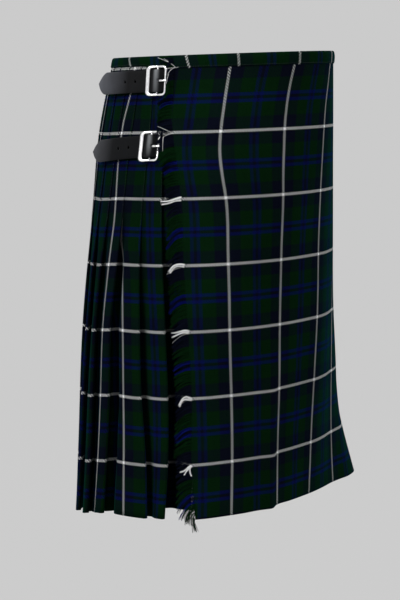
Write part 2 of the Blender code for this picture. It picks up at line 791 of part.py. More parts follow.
# The chape lies on the cloth behind the pin, wraps the pin from below and comes back on top
def make_chape(fastening, material):
    middle = PIN_RADIUS + SEAM + CHAPE_LEATHER / 2
    low = PIN_STAND - middle
    high = low + CHAPE_LEATHER + SEAM
    line = [(CHAPE_LONG, low), (CHAPE_MIDDLE, low), (0.0, low)]
    for turn in CHAPE_TURNS:
        angle = math.radians(turn)
        line.append((-middle * math.cos(angle), PIN_STAND + middle * math.sin(angle)))
    line.append((CHAPE_FALL[0], PIN_STAND + middle * CHAPE_FALL[1]))
    line += [(CHAPE_LAND, high), (CHAPE_SHORT, high)]
    line = np.array(line)
    halves = np.full(len(line), CHAPE_WIDTH / 2)
    name = "chape_" + fastening.name
    made = add_band_along(name, fastening, line[:, 0], line[:, 1], halves, CHAPE_LEATHER,
                          material)
    cut_slit(made, fastening, CHAPE_SLOT, (PIN_STAND - CUT_START, CUT_REACH))


def make_fastenings(leather, steel):
    for fastening in FASTENINGS:
        make_strap(fastening, leather)
        make_frame(fastening, steel)
        make_prong(fastening, steel)
        make_chape(fastening, leather)


def main():
    clear_scene()
    green = make_material("tartan", TARTAN_GREEN, 0.9, 0.0)
    navy = make_material("tartan_inside", TARTAN_NAVY, 0.9, 0.0)
    leather = make_material("leather", BLACK_LEATHER, 0.45, 0.0)
    steel = make_material("steel", BRIGHT_STEEL, 0.2, 1.0)
    make_panels(green, navy)
    make_band(green)
    make_fringe(green)
    make_fastenings(leather, steel)


main()
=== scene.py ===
import math

import bmesh
import bpy
import numpy as np
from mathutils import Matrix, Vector


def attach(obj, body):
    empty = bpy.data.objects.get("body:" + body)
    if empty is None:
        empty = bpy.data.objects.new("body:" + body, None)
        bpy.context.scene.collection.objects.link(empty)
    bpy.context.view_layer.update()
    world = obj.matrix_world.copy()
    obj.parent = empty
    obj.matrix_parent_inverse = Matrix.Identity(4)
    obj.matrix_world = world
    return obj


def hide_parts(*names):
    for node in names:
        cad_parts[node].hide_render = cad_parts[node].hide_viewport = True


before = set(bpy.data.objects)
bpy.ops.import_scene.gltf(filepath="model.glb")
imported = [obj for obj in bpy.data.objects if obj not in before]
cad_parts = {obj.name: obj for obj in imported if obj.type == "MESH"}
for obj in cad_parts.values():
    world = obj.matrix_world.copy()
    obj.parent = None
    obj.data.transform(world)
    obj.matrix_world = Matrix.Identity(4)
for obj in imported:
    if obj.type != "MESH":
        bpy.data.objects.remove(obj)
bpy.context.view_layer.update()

# A worn kilt with nobody in it: tartan panels, knife pleats, fringe, straps and buckles.
# Places on the cloth are (drop, arc, stand): metres down the cloth from the top edge,
# forward round the body from the wearer's right-most point, and out from the cloth's face.
print("kilt: frame loaded")

# The camera stands where the photograph was taken from
photoCamera = {
    "place": (-2.5812, -1.4423, 0.0054),
    "target": (-0.01440, 0.02518, -0.34074),
    "lens": 127.09,
    "sensorHeight": 36.0,
}


# An object at a place, turned to look at a target
def aimObject(name, data, place, target):
    thing = bpy.data.objects.new(name, data)
    thing.location = place
    thing.rotation_euler = (Vector(target) - Vector(place)).to_track_quat("-Z", "Y").to_euler()
    bpy.context.collection.objects.link(thing)
    return thing


def makeCamera():
    data = bpy.data.cameras.new("photoCamera")
    data.lens = photoCamera["lens"]
    data.sensor_fit = "VERTICAL"
    data.sensor_height = photoCamera["sensorHeight"]
    camera = aimObject("photoCamera", data, photoCamera["place"], photoCamera["target"])
    bpy.context.scene.camera = camera


makeCamera()

# Tables by drop: half width, depths and power of the worn kilt's level sections, arcs of the
# apron's two edges, and arcs of the first pleat folds with the height of one layer there
wornShape = {
    "drop": (0.000, 0.100, 0.190, 0.360, 0.530, 0.612),
    "side": (0.1480, 0.1603, 0.1798, 0.2063, 0.2272, 0.2398),
    "front": (0.1564, 0.1549, 0.1492, 0.1422, 0.1360, 0.1376),
    "back": (0.1486, 0.1726, 0.1756, 0.1854, 0.1784, 0.1748),
    "power": (2.05, 2.02, 2.05, 2.07, 2.28, 2.35),
}
apronEdges = {
    "drop": (0.0, 0.050, 0.100, 0.150, 0.200, 0.280, 0.360, 0.450, 0.540, 0.612),
    "right": (0.0117, 0.0119, 0.0152, 0.0290, 0.0402, 0.0490, 0.0600, 0.0705, 0.0760, 0.0880),
    "left": (0.466, 0.471, 0.478, 0.482, 0.485, 0.491, 0.497, 0.506, 0.520, 0.532),
}
firstFolds = {
    "drop": (0.0, 0.100, 0.210, 0.280, 0.360, 0.450, 0.540, 0.612),
    "fold1": (-0.0010, 0.0030, 0.0120, 0.0196, 0.0290, 0.0385, 0.0443, 0.0458),
    "fold2": (-0.0200, -0.0200, -0.0190, -0.0165, -0.0100, -0.0012, 0.0125, 0.0208),
    "fold3": (-0.0410, -0.0530, -0.0542, -0.0590, -0.0645, -0.0580, -0.0552, -0.0528),
    "fold4": (-0.0660, -0.0820, -0.0880, -0.0980, -0.1040, -0.1005, -0.0950, -0.0920),
    "fold5": (-0.0920, -0.1080, -0.1190, -0.1290, -0.1360, -0.1400, -0.1370, -0.1340),
    "layer": (0.0020, 0.0020, 0.0022, 0.0036, 0.0048, 0.0056, 0.0060, 0.0062),
}
garment = {
    "length": 0.612, "underLength": 0.601, "backLength": 0.610,
    "cloth": 0.0011, "seam": 0.0004, "hang": 0.992,
    "leanTop": 0.0055, "leanHem": 0.0037, "leanTurn": 0.205, "leanReach": 0.16,
    "backDip": 0.010, "dipStart": 0.050, "dipRun": 0.070,
    "kickArc": 0.490, "kickReach": 0.0195, "kickTop": 0.470, "kickPower": 1.35,
    "kickFore": 0.040, "kickAft": 0.070,
    "ringStep": 0.001, "ringPoints": 721, "shell": 0.0009,
}
knownRings = {}


# Cubic through given points, its slope at each point the mean slope there
def smoothThrough(at, value, where):
    at = np.asarray(at, dtype=float)
    value = np.asarray(value, dtype=float)
    slope = np.gradient(value, at)
    index = np.clip(np.searchsorted(at, where) - 1, 0, len(at) - 2)
    span = at[index + 1] - at[index]
    part = (where - at[index]) / span
    rise = (2 * part ** 3 - 3 * part ** 2 + 1) * value[index]
    rise += (part ** 3 - 2 * part ** 2 + part) * span * slope[index]
    rise += (3 * part ** 2 - 2 * part ** 3) * value[index + 1]
    rise += (part ** 3 - part ** 2) * span * slope[index + 1]
    return rise


def column(table, name, drop):
    return smoothThrough(table["drop"], table[name], drop)


def smoothStep(value):
    share = np.clip(value, 0.0, 1.0)
    return share * share * (3.0 - 2.0 * share)


def arcLengths(across, along):
    return np.concatenate([[0.0], np.cumsum(np.hypot(np.diff(across), np.diff(along)))])


def fullTurn(count):
    return 2.0 * math.pi * np.arange(count) / count


# Cosine and sine with their sizes raised to a power: below 1 it squares a circle
def squarish(turn, power):
    return [np.sign(wave) * np.abs(wave) ** power for wave in (np.cos(turn), np.sin(turn))]


# One level section of the cloth's face: a rounded square of the table's half width, depths
# and power, pushed out at the apron's kick, with its arcs from the right-most point
def bodyRing(drop):
    key = round(float(drop), 6)
    if key in knownRings:
        return knownRings[key]
    g = garment
    angle = np.linspace(0.0, 2.0 * math.pi, g["ringPoints"])
    wide, high = squarish(angle, 2.0 / column(wornShape, "power", drop))
    across = column(wornShape, "side", drop) * wide
    along = np.where(high < 0.0, column(wornShape, "front", drop), column(wornShape, "back", drop)) * high
    lower = np.clip((drop - g["kickTop"]) / (g["length"] - g["kickTop"]), 0.0, 1.0)
    away = rightmostArcs(angle, across, along) - g["kickArc"]
    width = np.where(away < 0.0, g["kickFore"], g["kickAft"])
    kick = g["kickReach"] * lower ** g["kickPower"] * np.exp(-0.5 * (away / width) ** 2)
    normal = outward(across, along)
    across = across + normal[:, 0] * kick
    along = along + normal[:, 1] * kick
    across[-1] = across[0]
    along[-1] = along[0]
    share = drop / g["length"]
    lean = g["leanTop"] + (g["leanHem"] - g["leanTop"]) * share
    height = -g["hang"] * drop - lean * (along - g["leanTurn"] * across) / g["leanReach"]
    height = height - g["backDip"] * share * smoothStep((along - g["dipStart"]) / g["dipRun"])
    points = np.stack([across, along, height], axis=1)
    knownRings[key] = (points, rightmostArcs(angle, across, along), outward(across, along))
    return knownRings[key]


def rightmostArcs(angle, across, along):
    arcs = arcLengths(across, along)
    return arcs - np.interp(math.pi, angle, arcs)


def outward(across, along):
    run = np.stack([np.gradient(along), -np.gradient(across)], axis=1)
    return run / np.linalg.norm(run, axis=1, keepdims=True)


def girth(drop):
    arcs = bodyRing(drop)[1]
    return arcs[-1] - arcs[0]


def ringSpots(drop, arc, stand):
    points, known, normal = bodyRing(drop)
    arc = (arc - known[0]) % (known[-1] - known[0]) + known[0]
    spot = np.stack([np.interp(arc, known, points[:, axis]) for axis in range(3)], axis=1)
    for axis in range(2):
        spot[:, axis] += np.interp(arc, known, normal[:, axis]) * stand
    return spot


# Points of the worn cloth for arrays of drops, arcs and stands: each lies on a straight line
# between the level sections just above and below it
def onBody(drop, arc, stand):
    drop, arc, stand = np.broadcast_arrays(drop, arc, stand)
    shape = drop.shape
    drop, arc, stand = drop.ravel(), arc.ravel(), stand.ravel()
    step = garment["ringStep"]
    level = np.floor(drop / step + 1e-9).astype(int)
    part = drop / step - level
    spot = np.empty((drop.size, 3))
    order = np.argsort(level, kind="stable")
    cuts = np.flatnonzero(np.diff(level[order])) + 1
    for rows in np.split(order, cuts):
        above = level[rows[0]] * step
        upper = ringSpots(above, arc[rows], stand[rows])
        lower = ringSpots(above + step, arc[rows], stand[rows])
        spot[rows] = upper + (lower - upper) * part[rows, None]
    return spot.reshape(shape + (3,))


# A surface from a grid of points, rows by columns. Its UV map is in metres of cloth:
# acrossLeft and acrossRight give U at the two sides of each column of faces, down gives V.
def gridPiece(name, points, acrossLeft=None, acrossRight=None, down=None):
    rows, columns = points.shape[:2]
    here = (np.arange(rows - 1)[:, None] * columns + np.arange(columns - 1)).ravel()
    quads = np.stack([here, here + columns, here + columns + 1, here + 1], axis=1)
    piece = meshPiece(name, points.reshape(-1, 3), quads)
    if down is not None:
        u = np.stack([acrossLeft[:-1], acrossLeft[1:], acrossRight[1:], acrossRight[:-1]], axis=2)
        v = np.stack([down[:-1, :-1], down[1:, :-1], down[1:, 1:], down[:-1, 1:]], axis=2)
        setClothMetres(piece, np.stack([u.ravel(), v.ravel()], axis=1))
    return piece


def setClothMetres(piece, places):
    layer = piece.data.uv_layers.new(name="clothMetres")
    layer.data.foreach_set("uv", np.broadcast_to(places, (len(piece.data.loops), 2)).ravel())


def meshPiece(name, points, quads):
    mesh = bpy.data.meshes.new(name)
    mesh.vertices.add(len(points))
    mesh.vertices.foreach_set("co", np.asarray(points, dtype=np.float32).ravel())
    mesh.loops.add(quads.size)
    mesh.loops.foreach_set("vertex_index", quads.ravel().astype(np.int32))
    mesh.polygons.add(len(quads))
    mesh.polygons.foreach_set("loop_start", np.arange(0, quads.size, quads.shape[1], dtype=np.int32))
    mesh.update(calc_edges=True)
    mesh.polygons.foreach_set("use_smooth", np.ones(len(quads), dtype=bool))
    piece = bpy.data.objects.new(name, mesh)
    bpy.context.collection.objects.link(piece)
    return piece


def giveThickness(piece, thickness):
    wall = piece.modifiers.new("wall", "SOLIDIFY")
    wall.thickness = thickness
    wall.offset = 0.0
    wall.use_rim = True


# Mesh from closed rings of points, (rings, ring points, 3), or from many such tubes at once
def ringPiece(name, points, closedPath=False, filled=True):
    rings, sides = points.shape[-3:-1]
    points = points.reshape(-1, rings, sides, 3)
    ring = np.arange(sides)
    after = (ring + 1) % sides
    rows = np.arange(rings if closedPath else rings - 1)[:, None]
    following = (rows + 1) % rings
    quads = np.stack([rows * sides + ring, rows * sides + after,
                      following * sides + after, following * sides + ring], axis=-1)
    quads = quads + np.arange(len(points))[:, None, None, None] * rings * sides
    piece = meshPiece(name, points.reshape(-1, 3), quads.reshape(-1, 4))
    if filled:
        closeHoles(piece)
    return piece


# Round tubes along paths, (tubes, steps, 3), as thick as sizes, (tubes, steps)
def tubePiece(name, paths, sizes, sides, filled=True):
    turn = 2.0 * math.pi * (np.arange(sides) + 0.5) / sides
    outline = np.stack([np.cos(turn), np.sin(turn)], axis=1) / 2.0
    run = np.gradient(paths, axis=1)
    run /= np.linalg.norm(run, axis=2, keepdims=True)
    side = np.cross(run, (0.0, 0.0, 1.0))
    side /= np.maximum(np.linalg.norm(side, axis=2, keepdims=True), 1e-9)
    rise = np.cross(side, run)
    spread = side[:, :, None] * outline[:, 0, None] + rise[:, :, None] * outline[:, 1, None]
    return ringPiece(name, paths[:, :, None] + spread * sizes[:, :, None, None], filled=filled)


def closeHoles(piece):
    work = bmesh.new()
    work.from_mesh(piece.data)
    edges = [edge for edge in work.edges if edge.is_boundary]
    bmesh.ops.holes_fill(work, edges=edges, sides=0)
    bmesh.ops.recalc_face_normals(work, faces=work.faces[:])
    for face in work.faces:
        face.smooth = len(face.verts) <= 4
    work.to_mesh(piece.data)
    work.free()


def finish(piece, nodes, material):
    piece.data.materials.clear()
    piece.data.materials.append(material)
    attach(piece, "root")
    if nodes:
        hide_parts(*nodes)


# Node helpers: a node's inputs are set or joined in one call, by name or as i0, i1 and so on
class nodeTable:
    def __init__(self, tree):
        self.tree = tree

    def fill(self, node, **inputs):
        for name, value in inputs.items():
            key = int(name[1:]) if name[0] == "i" and name[1:].isdigit() else name.replace("_", " ")
            if isinstance(value, bpy.types.NodeSocket):
                self.tree.links.new(value, node.inputs[key])
            else:
                node.inputs[key].default_value = value
        return node

    def add(self, kind, settings=None, **inputs):
        node = self.tree.nodes.new("ShaderNode" + kind)
        for name, value in (settings or {}).items():
            setattr(node, name, value)
        return self.fill(node, **inputs)

    def math(self, operation, first, second=0.0, clamp=False):
        return self.add("Math", {"operation": operation, "use_clamp": clamp}, i0=first, i1=second).outputs[0]

    def vector(self, operation, first, **inputs):
        return self.add("VectorMath", {"operation": operation}, i0=first, **inputs).outputs

    def mix(self, share, first, second):
        return self.add("Mix", {"data_type": "RGBA"}, i0=share, i6=first, i7=second).outputs[2]

    def noise(self, place, scale, detail, **settings):
        return self.add("TexNoise", settings, Vector=place, Scale=scale, Detail=detail).outputs[0]

    def bump(self, height, strength, distance):
        return self.add("Bump", Height=height, Strength=strength, Distance=distance).outputs[0]

    def ramp(self, share, stops, interpolation="LINEAR"):
        node = self.add("ValToRGB", i0=share)
        node.color_ramp.interpolation = interpolation
        points = node.color_ramp.elements
        while len(points) < len(stops):
            points.new(0.5)
        for point, (place, colour) in zip(points, stops):
            point.position = place
            point.color = colour
        return node.outputs[0]


def newGroup(name, inputs, outputs):
    tree = bpy.data.node_groups.new(name, "ShaderNodeTree")
    for label, kind, value in inputs:
        socket = tree.interface.new_socket(name=label, in_out="INPUT", socket_type="NodeSocket" + kind)
        if value is not None:
            socket.default_value = value
    for label, kind in outputs:
        tree.interface.new_socket(name=label, in_out="OUTPUT", socket_type="NodeSocket" + kind)
    start = tree.nodes.new("NodeGroupInput")
    end = tree.nodes.new("NodeGroupOutput")
    return tree, nodeTable(tree), start.outputs, end


# The tartan's sett: half of one repeat from the middle of a white line, as shares of the
# half repeat, and the yarn colours
tartan = {
    "repeat": 0.0879,
    "threadPitch": 0.00095,
    "whiteTo": 0.042, "darkTo": 0.418, "greenTo": 0.848, "blueTo": 0.950,
    # white yarn where it is loose or meets white; whiteWeft and whiteWarp are that white darkened by painted
    # shade where dark yarns cross it, and the warp's white and blue are darker than the weft's
    "white": (0.92, 0.92, 0.92, 1.0),
    "whiteWeft": (0.66, 0.66, 0.66, 1.0),
    "whiteWarp": (0.45, 0.45, 0.45, 1.0),
    "dark": (0.0032, 0.0042, 0.0100, 1.0),
    "green": (0.0022, 0.0132, 0.0036, 1.0),
    "blueWeft": (0.0030, 0.0056, 0.0760, 1.0),
    "blueWarp": (0.0032, 0.0066, 0.0430, 1.0),
    "yarnUneven": 0.42,
}


def tartanStops(white, blue):
    t = tartan
    return ((0.0, white), (t["whiteTo"], t["dark"]), (t["darkTo"], t["green"]),
            (t["greenTo"], blue), (t["blueTo"], t["dark"]))


# Group: tartan in 2/2 twill. Each yarn system is coloured by its distance from the nearest
# white line, and the twill says which of the two lies on top of a thread crossing.
def makeTartanGroup():
    tree, n, start, end = newGroup("tartanTwill", [
        ("Cloth", "Vector", None),
        ("Repeat", "Float", tartan["repeat"]),
        ("Thread Pitch", "Float", tartan["threadPitch"]),
        ("Uneven", "Float", tartan["yarnUneven"]),
        ("Light", "Float", 1.0),
    ], [("Color", "Color"), ("Weft Color", "Color"), ("Height", "Float")])
    parts = n.add("SeparateXYZ", i0=start["Cloth"])
    colours, threads, waves, inWhite = [], [], [], []
    for axis, yarns in enumerate(("Warp", "Weft")):
        place = parts.outputs[axis]
        turns = n.math("DIVIDE", place, start["Repeat"])
        wrapped = n.math("MULTIPLY", n.math("PINGPONG", turns, 0.5), 2.0)
        stops = tartanStops(tartan["white" + yarns], tartan["blue" + yarns])
        colours.append(n.ramp(wrapped, stops, "CONSTANT"))
        inWhite.append(n.math("LESS_THAN", wrapped, tartan["whiteTo"]))
        count = n.math("DIVIDE", place, start["Thread Pitch"])
        threads.append(n.math("FLOOR", count))
        waves.append(n.math("SINE", n.math("MULTIPLY", count, 2.0 * math.pi)))
    step = n.math("MULTIPLY", n.math("SUBTRACT", threads[0], threads[1]), 0.25)
    warpOnTop = n.math("LESS_THAN", n.math("FRACT", step), 0.5)
    woven = n.mix(warpOnTop, colours[1], colours[0])
    # Where white crosses white, the white without painted shade
    woven = n.mix(n.math("MULTIPLY", inWhite[0], inWhite[1]), woven, tartan["white"])
    loose = n.ramp(wrapped, tartanStops(tartan["white"], tartan["blueWeft"]), "CONSTANT")
    slub = n.add("CombineXYZ", i0=n.math("MULTIPLY", threads[0], 0.37),
                 i1=n.math("MULTIPLY", threads[1], 0.31))
    noise = n.noise(slub.outputs[0], 1.0, 2.0, noise_dimensions="2D")
    soft = n.noise(start["Cloth"], 9.0, 3.0, noise_dimensions="2D")
    shade = n.math("SUBTRACT", n.math("ADD", noise, soft), 1.0)
    shade = n.math("MULTIPLY", shade, start["Uneven"])
    # Light scales the yarn colours: painted shade in the cloth's folds, painted light on the fringe threads
    bright = n.math("MULTIPLY", n.math("ADD", shade, 1.0), start["Light"])
    shown = [n.vector("SCALE", colour, Scale=bright)[0] for colour in (woven, loose)]
    shown = [n.vector("MINIMUM", colour, i1=tartan["white"][:3])[0] for colour in shown]
    pick = n.math("MULTIPLY", n.math("SUBTRACT", warpOnTop, 0.5), n.math("SUBTRACT", waves[0], waves[1]))
    ridge = n.math("ADD", n.math("MULTIPLY", pick, 0.6), n.math("MULTIPLY", noise, 0.5))
    n.fill(end, i0=shown[0], i1=shown[1], i2=ridge)
    return tree


# Group: leather grain, a net of fine pits over broader mottling
def makeGrainGroup():
    tree, n, start, end = newGroup("leatherGrain", [
        ("Place", "Vector", None),
        ("Grain Size", "Float", 900.0),
    ], [("Pits", "Float"), ("Mottle", "Float")])
    place = start["Place"]
    cells = n.add("TexVoronoi", {"feature": "DISTANCE_TO_EDGE"}, Vector=place, Scale=start["Grain Size"])
    broad = n.noise(place, 60.0, 5.0)
    fine = n.noise(place, 700.0, 3.0)
    pits = n.math("ADD", n.math("MULTIPLY", cells.outputs[0], 1.4), n.math("MULTIPLY", fine, 0.4))
    n.fill(end, i0=pits, i1=broad)
    return tree


def newMaterial(name):
    material = bpy.data.materials.new(name)
    material.use_nodes = True
    tree = material.node_tree
    return material, nodeTable(tree), tree.nodes["Principled BSDF"]


def makeClothMaterial(tartanGroup):
    material, n, shader = newMaterial("tartanCloth")
    place = n.add("UVMap", {"uv_map": "clothMetres"}).outputs[0]
    # The fold attribute is painted shade in the gaps between pleats; it lowers the tartan's Light there
    depth = n.add("Attribute", {"attribute_name": "foldDepth"}).outputs["Fac"]
    light = n.math("SUBTRACT", 1.0, depth, clamp=True)
    weave = n.add("Group", {"node_tree": tartanGroup}, Cloth=place, Light=light).outputs
    n.fill(shader, Base_Color=weave["Color"], Normal=n.bump(weave["Height"], 0.5, 0.00015),
           Roughness=0.85, Specular_IOR_Level=0.0, Sheen_Weight=0.09, Sheen_Roughness=0.30,
           Sheen_Tint=(0.05, 0.50, 0.60, 1.0))
    return material


def makeThreadMaterial(tartanGroup):
    material, n, shader = newMaterial("tartanThreads")
    place = n.add("UVMap", {"uv_map": "clothMetres"}).outputs[0]
    # Light 1.5 makes the threads half again brighter than the woven yarn, as painted light
    weave = n.add("Group", {"node_tree": tartanGroup}, Cloth=place, Uneven=0.6, Light=1.5).outputs
    twist = n.noise(n.add("TexCoord").outputs["Object"], 1500.0, 2.0)
    n.fill(shader, Base_Color=weave["Weft Color"], Normal=n.bump(twist, 0.4, 0.0001), Roughness=0.85,
           Specular_IOR_Level=0.0)
    return material


# Leather of each strap and chape: near black from the buckle on, painted lighter toward the tip as sheen,
# with a painted highlight where it bends over the bar; each strap's own colours are painted light and shade,
# the lower one darker.
# Runs are level distances from the bar.
leatherLook = {
    "smooth": 0.42, "rough": 0.60, "grainDepth": 0.00008, "bendRun": 0.0058, "tipRun": 0.116,
    "Top": {"near": (0.0050, 0.0052, 0.0060), "tip": (0.090, 0.094, 0.109), "bend": (0.220, 0.232, 0.245),
            "nearRun": 0.052},
    "Lower": {"near": (0.0020, 0.0024, 0.0032), "tip": (0.060, 0.062, 0.070), "bend": (0.200, 0.212, 0.222),
              "nearRun": 0.070},
    "Left": {"near": (0.0050, 0.0052, 0.0060), "tip": (0.060, 0.062, 0.072), "bend": (0.120, 0.126, 0.134),
             "nearRun": 0.050},
    "chape": {"near": (0.0060, 0.0062, 0.0070), "tip": (0.0060, 0.0062, 0.0070),
              "bend": (0.020, 0.020, 0.022), "nearRun": 0.050},
}


def makeLeatherMaterial(grainGroup, name, lookName, bar):
    look = leatherLook
    own = look[lookName]
    near, tip, bend = (own[part] + (1.0,) for part in ("near", "tip", "bend"))
    material, n, shader = newMaterial(name)
    place = n.add("TexCoord").outputs["Object"]
    grain = n.add("Group", {"node_tree": grainGroup}, Place=place).outputs
    level = n.vector("MULTIPLY", place, i1=(1.0, 1.0, 0.0))[0]
    away = n.vector("DISTANCE", level, i1=(bar[0], bar[1], 0.0))["Value"]
    tipSheen = n.add("MapRange", Value=away, From_Min=own["nearRun"], From_Max=look["tipRun"])
    bendHighlight = n.add("MapRange", {"interpolation_type": "SMOOTHSTEP"}, Value=away, From_Min=look["bendRun"],
                 From_Max=0.0)
    # Colour: near black, painted sheen toward the tip and a painted highlight over the bar
    colour = n.mix(bendHighlight.outputs[0], n.mix(tipSheen.outputs[0], near, tip), bend)
    mottle = n.math("ADD", n.math("MULTIPLY", grain["Mottle"], 0.7), 0.65)
    rough = n.add("MapRange", Value=grain["Mottle"], To_Min=look["smooth"], To_Max=look["rough"])
    n.fill(shader, Base_Color=n.vector("SCALE", colour, Scale=mottle)[0], Roughness=rough.outputs[0],
           Normal=n.bump(grain["Pits"], 0.5, look["grainDepth"]), Specular_IOR_Level=0.06)
    return material


def makeSteelMaterial():
    material, n, shader = newMaterial("buckleChrome")
    place = n.add("TexCoord").outputs["Object"]
    broad = n.noise(place, 160.0, 4.0)
    colour = n.ramp(broad, ((0.3, (0.70, 0.70, 0.72, 1.0)), (0.7, (0.86, 0.86, 0.87, 1.0))))
    rough = n.add("MapRange", Value=broad, To_Min=0.10, To_Max=0.26).outputs[0]
    scratches = n.bump(n.noise(place, 2600.0, 2.0), 0.12, 0.00004)
    n.fill(shader, Base_Color=colour, Roughness=rough, Normal=scratches, Metallic=1.0)
    return material


def makeStitchMaterial():
    material, n, shader = newMaterial("sewingThread")
    uneven = n.noise(n.add("TexCoord").outputs["Object"], 900.0, 2.0)
    colour = n.ramp(uneven, ((0.3, (0.004, 0.008, 0.012, 1.0)), (0.7, (0.012, 0.022, 0.028, 1.0))))
    n.fill(shader, Base_Color=colour, Roughness=0.7)
    return material


tartanGroup = makeTartanGroup()
grainGroup = makeGrainGroup()
clothMaterial = makeClothMaterial(tartanGroup)
threadMaterial = makeThreadMaterial(tartanGroup)
steelMaterial = makeSteelMaterial()
stitchMaterial = makeStitchMaterial()
print("kilt: materials made")

# Soft creases on the panels: both ends as (arc, drop), half width and height, where a
# ridge is above 0 and a trough below
creases = (
    (0.196, 0.400, 0.221, 0.680, 0.0085, 0.0019),
    (0.222, 0.420, 0.246, 0.680, 0.0130, -0.0013),
    (0.112, 0.300, 0.126, 0.660, 0.0170, -0.0012),
    (0.158, 0.470, 0.170, 0.680, 0.0150, 0.0011),
    (0.290, 0.170, 0.330, 0.660, 0.0300, 0.0020),
    (0.365, 0.260, 0.398, 0.660, 0.0200, -0.0018),
    (0.425, 0.330, 0.452, 0.680, 0.0170, 0.0018),
    (0.470, 0.220, 0.484, 0.500, 0.0100, -0.0012),
    (0.030, 0.036, 0.094, 0.060, 0.0060, -0.0007),
    (0.034, 0.128, 0.100, 0.116, 0.0070, -0.0008),
    (0.036, 0.104, 0.088, 0.090, 0.0060, 0.0006),
    (0.440, 0.045, 0.380, 0.074, 0.0080, -0.0008),
)


# Height of all creases: each is a bell across its line, fading in and out along it
def creaseHeight(drop, arc):
    total = np.zeros(np.broadcast(drop, arc).shape)
    for arcA, dropA, arcB, dropB, width, height in creases:
        runArc = arcB - arcA
        runDrop = dropB - dropA
        size = math.hypot(runArc, runDrop)
        along = ((arc - arcA) * runArc + (drop - dropA) * runDrop) / size ** 2
        away = ((arc - arcA) * runDrop - (drop - dropA) * runArc) / size
        fade = smoothStep(along / 0.35) * smoothStep((1.0 - along) / 0.25)
        total = total + height * fade * np.exp(-(away / width) ** 2)
    return total


sag = {"arc": 0.192, "from": 0.36, "lean": 0.11, "run": 0.17, "depth": 0.0026, "fore": 0.030, "aft": 0.0065}
apron = {
    "columns": 262, "turnColumns": 7, "returnColumns": 12, "rows": 166,
    "return": 0.026, "returnDepth": 1.25,
}
# Arcs of the apron's first three white warp lines by drop
whiteWarps = {
    "drop": (0.0, 0.018, 0.040, 0.070, 0.100, 0.125, 0.155, 0.188, 0.274, 0.364, 0.452, 0.542, 0.612),
    "line1": (0.0910, 0.0888, 0.0862, 0.0834, 0.0814, 0.0824, 0.0885, 0.0974, 0.1084, 0.1179, 0.1272,
              0.1359, 0.1410),
    "line2": (0.1850, 0.1815, 0.1766, 0.1728, 0.1724, 0.1750, 0.1790, 0.1846, 0.1932, 0.2023, 0.2135,
              0.2226, 0.2308),
    "line3": (0.2790, 0.2735, 0.2680, 0.2610, 0.2604, 0.2630, 0.2680, 0.2736, 0.2831, 0.2950, 0.3030,
              0.3090, 0.3150),
}
whiteWeft = 0.145 * tartan["repeat"]  # drop of the first white weft line


# How far across the apron's cloth each arc lies, from the first white line
def apronAcross(drop, arc):
    repeat = tartan["repeat"]
    first, second, third = (float(column(whiteWarps, name, drop)) for name in ("line1", "line2", "line3"))
    known = (first - repeat, first, second, third, third + 4 * repeat)
    return np.interp(arc, known, (-repeat, 0.0, repeat, 2 * repeat, 6 * repeat))


# One row of the apron: along its face, round the left fold and back under it. The last value
# is its painted fold shade, which is none.
def apronRow(drop):
    start = column(apronEdges, "right", drop)
    end = column(apronEdges, "left", drop)
    layer = column(firstFolds, "layer", drop)
    middle = -garment["cloth"] / 2
    tip = layer / 2
    face = np.linspace(start, end - tip, apron["columns"])
    faceStand = middle + creaseHeight(drop, face) * smoothStep((end - face) / 0.02)
    turn = np.linspace(0.5, -0.5, apron["turnColumns"] + 2)[1:-1] * math.pi
    backArc = np.linspace(end - tip, end - apron["return"], apron["returnColumns"])
    backStand = np.linspace(middle - layer, middle - apron["returnDepth"] * layer, apron["returnColumns"])
    arcs = np.concatenate([face, end - tip + tip * np.cos(turn), backArc])
    stands = np.concatenate([faceStand, middle - tip + tip * np.sin(turn), backStand])
    behind = arcLengths(arcs, stands)
    behind = behind[len(face):] - behind[len(face) - 1]
    across = np.concatenate([apronAcross(drop, face), apronAcross(drop, face[-1]) + behind])
    return arcs, stands, across, np.zeros(len(arcs))


# How far the cloth hangs lower beside the long crease at the hem
def creaseSag(drop, arc):
    s = sag
    away = arc - s["arc"] - s["lean"] * (drop - s["from"])
    width = np.where(away < 0.0, s["fore"], s["aft"])
    return s["depth"] * smoothStep((drop - s["from"]) / s["run"]) * np.exp(-(away / width) ** 2)


def panelFromRows(name, drops, rowAt, lower=0.0):
    arcs, stands, across, depthAndShade = (np.array(part) for part in zip(*[rowAt(drop) for drop in drops]))
    fall = creaseSag(drops[:, None], arcs) * lower
    points = onBody(drops[:, None] + fall, arcs, stands)
    down = np.broadcast_to(drops[:, None] - whiteWeft, arcs.shape)
    piece = gridPiece(name, points, across[:, :-1], across[:, 1:], down)
    addFoldShade(piece, depthAndShade)
    return piece


# Painted shade in the folds: how deep in a fold each point lies, from 0 in the open to 1, which darkens the
# cloth's colour as shade
def addFoldShade(piece, depthAndShade):
    layer = piece.data.attributes.new("foldDepth", "FLOAT", "POINT")
    layer.data.foreach_set("value", np.asarray(depthAndShade, dtype=np.float32).ravel())


def makeApron():
    drops = np.linspace(0.0, garment["length"], apron["rows"])
    piece = panelFromRows("apronCloth", drops, apronRow, 1.0)
    giveThickness(piece, garment["shell"])
    finish(piece, ["apron"], clothMaterial)


makeApron()
print("kilt: apron made")

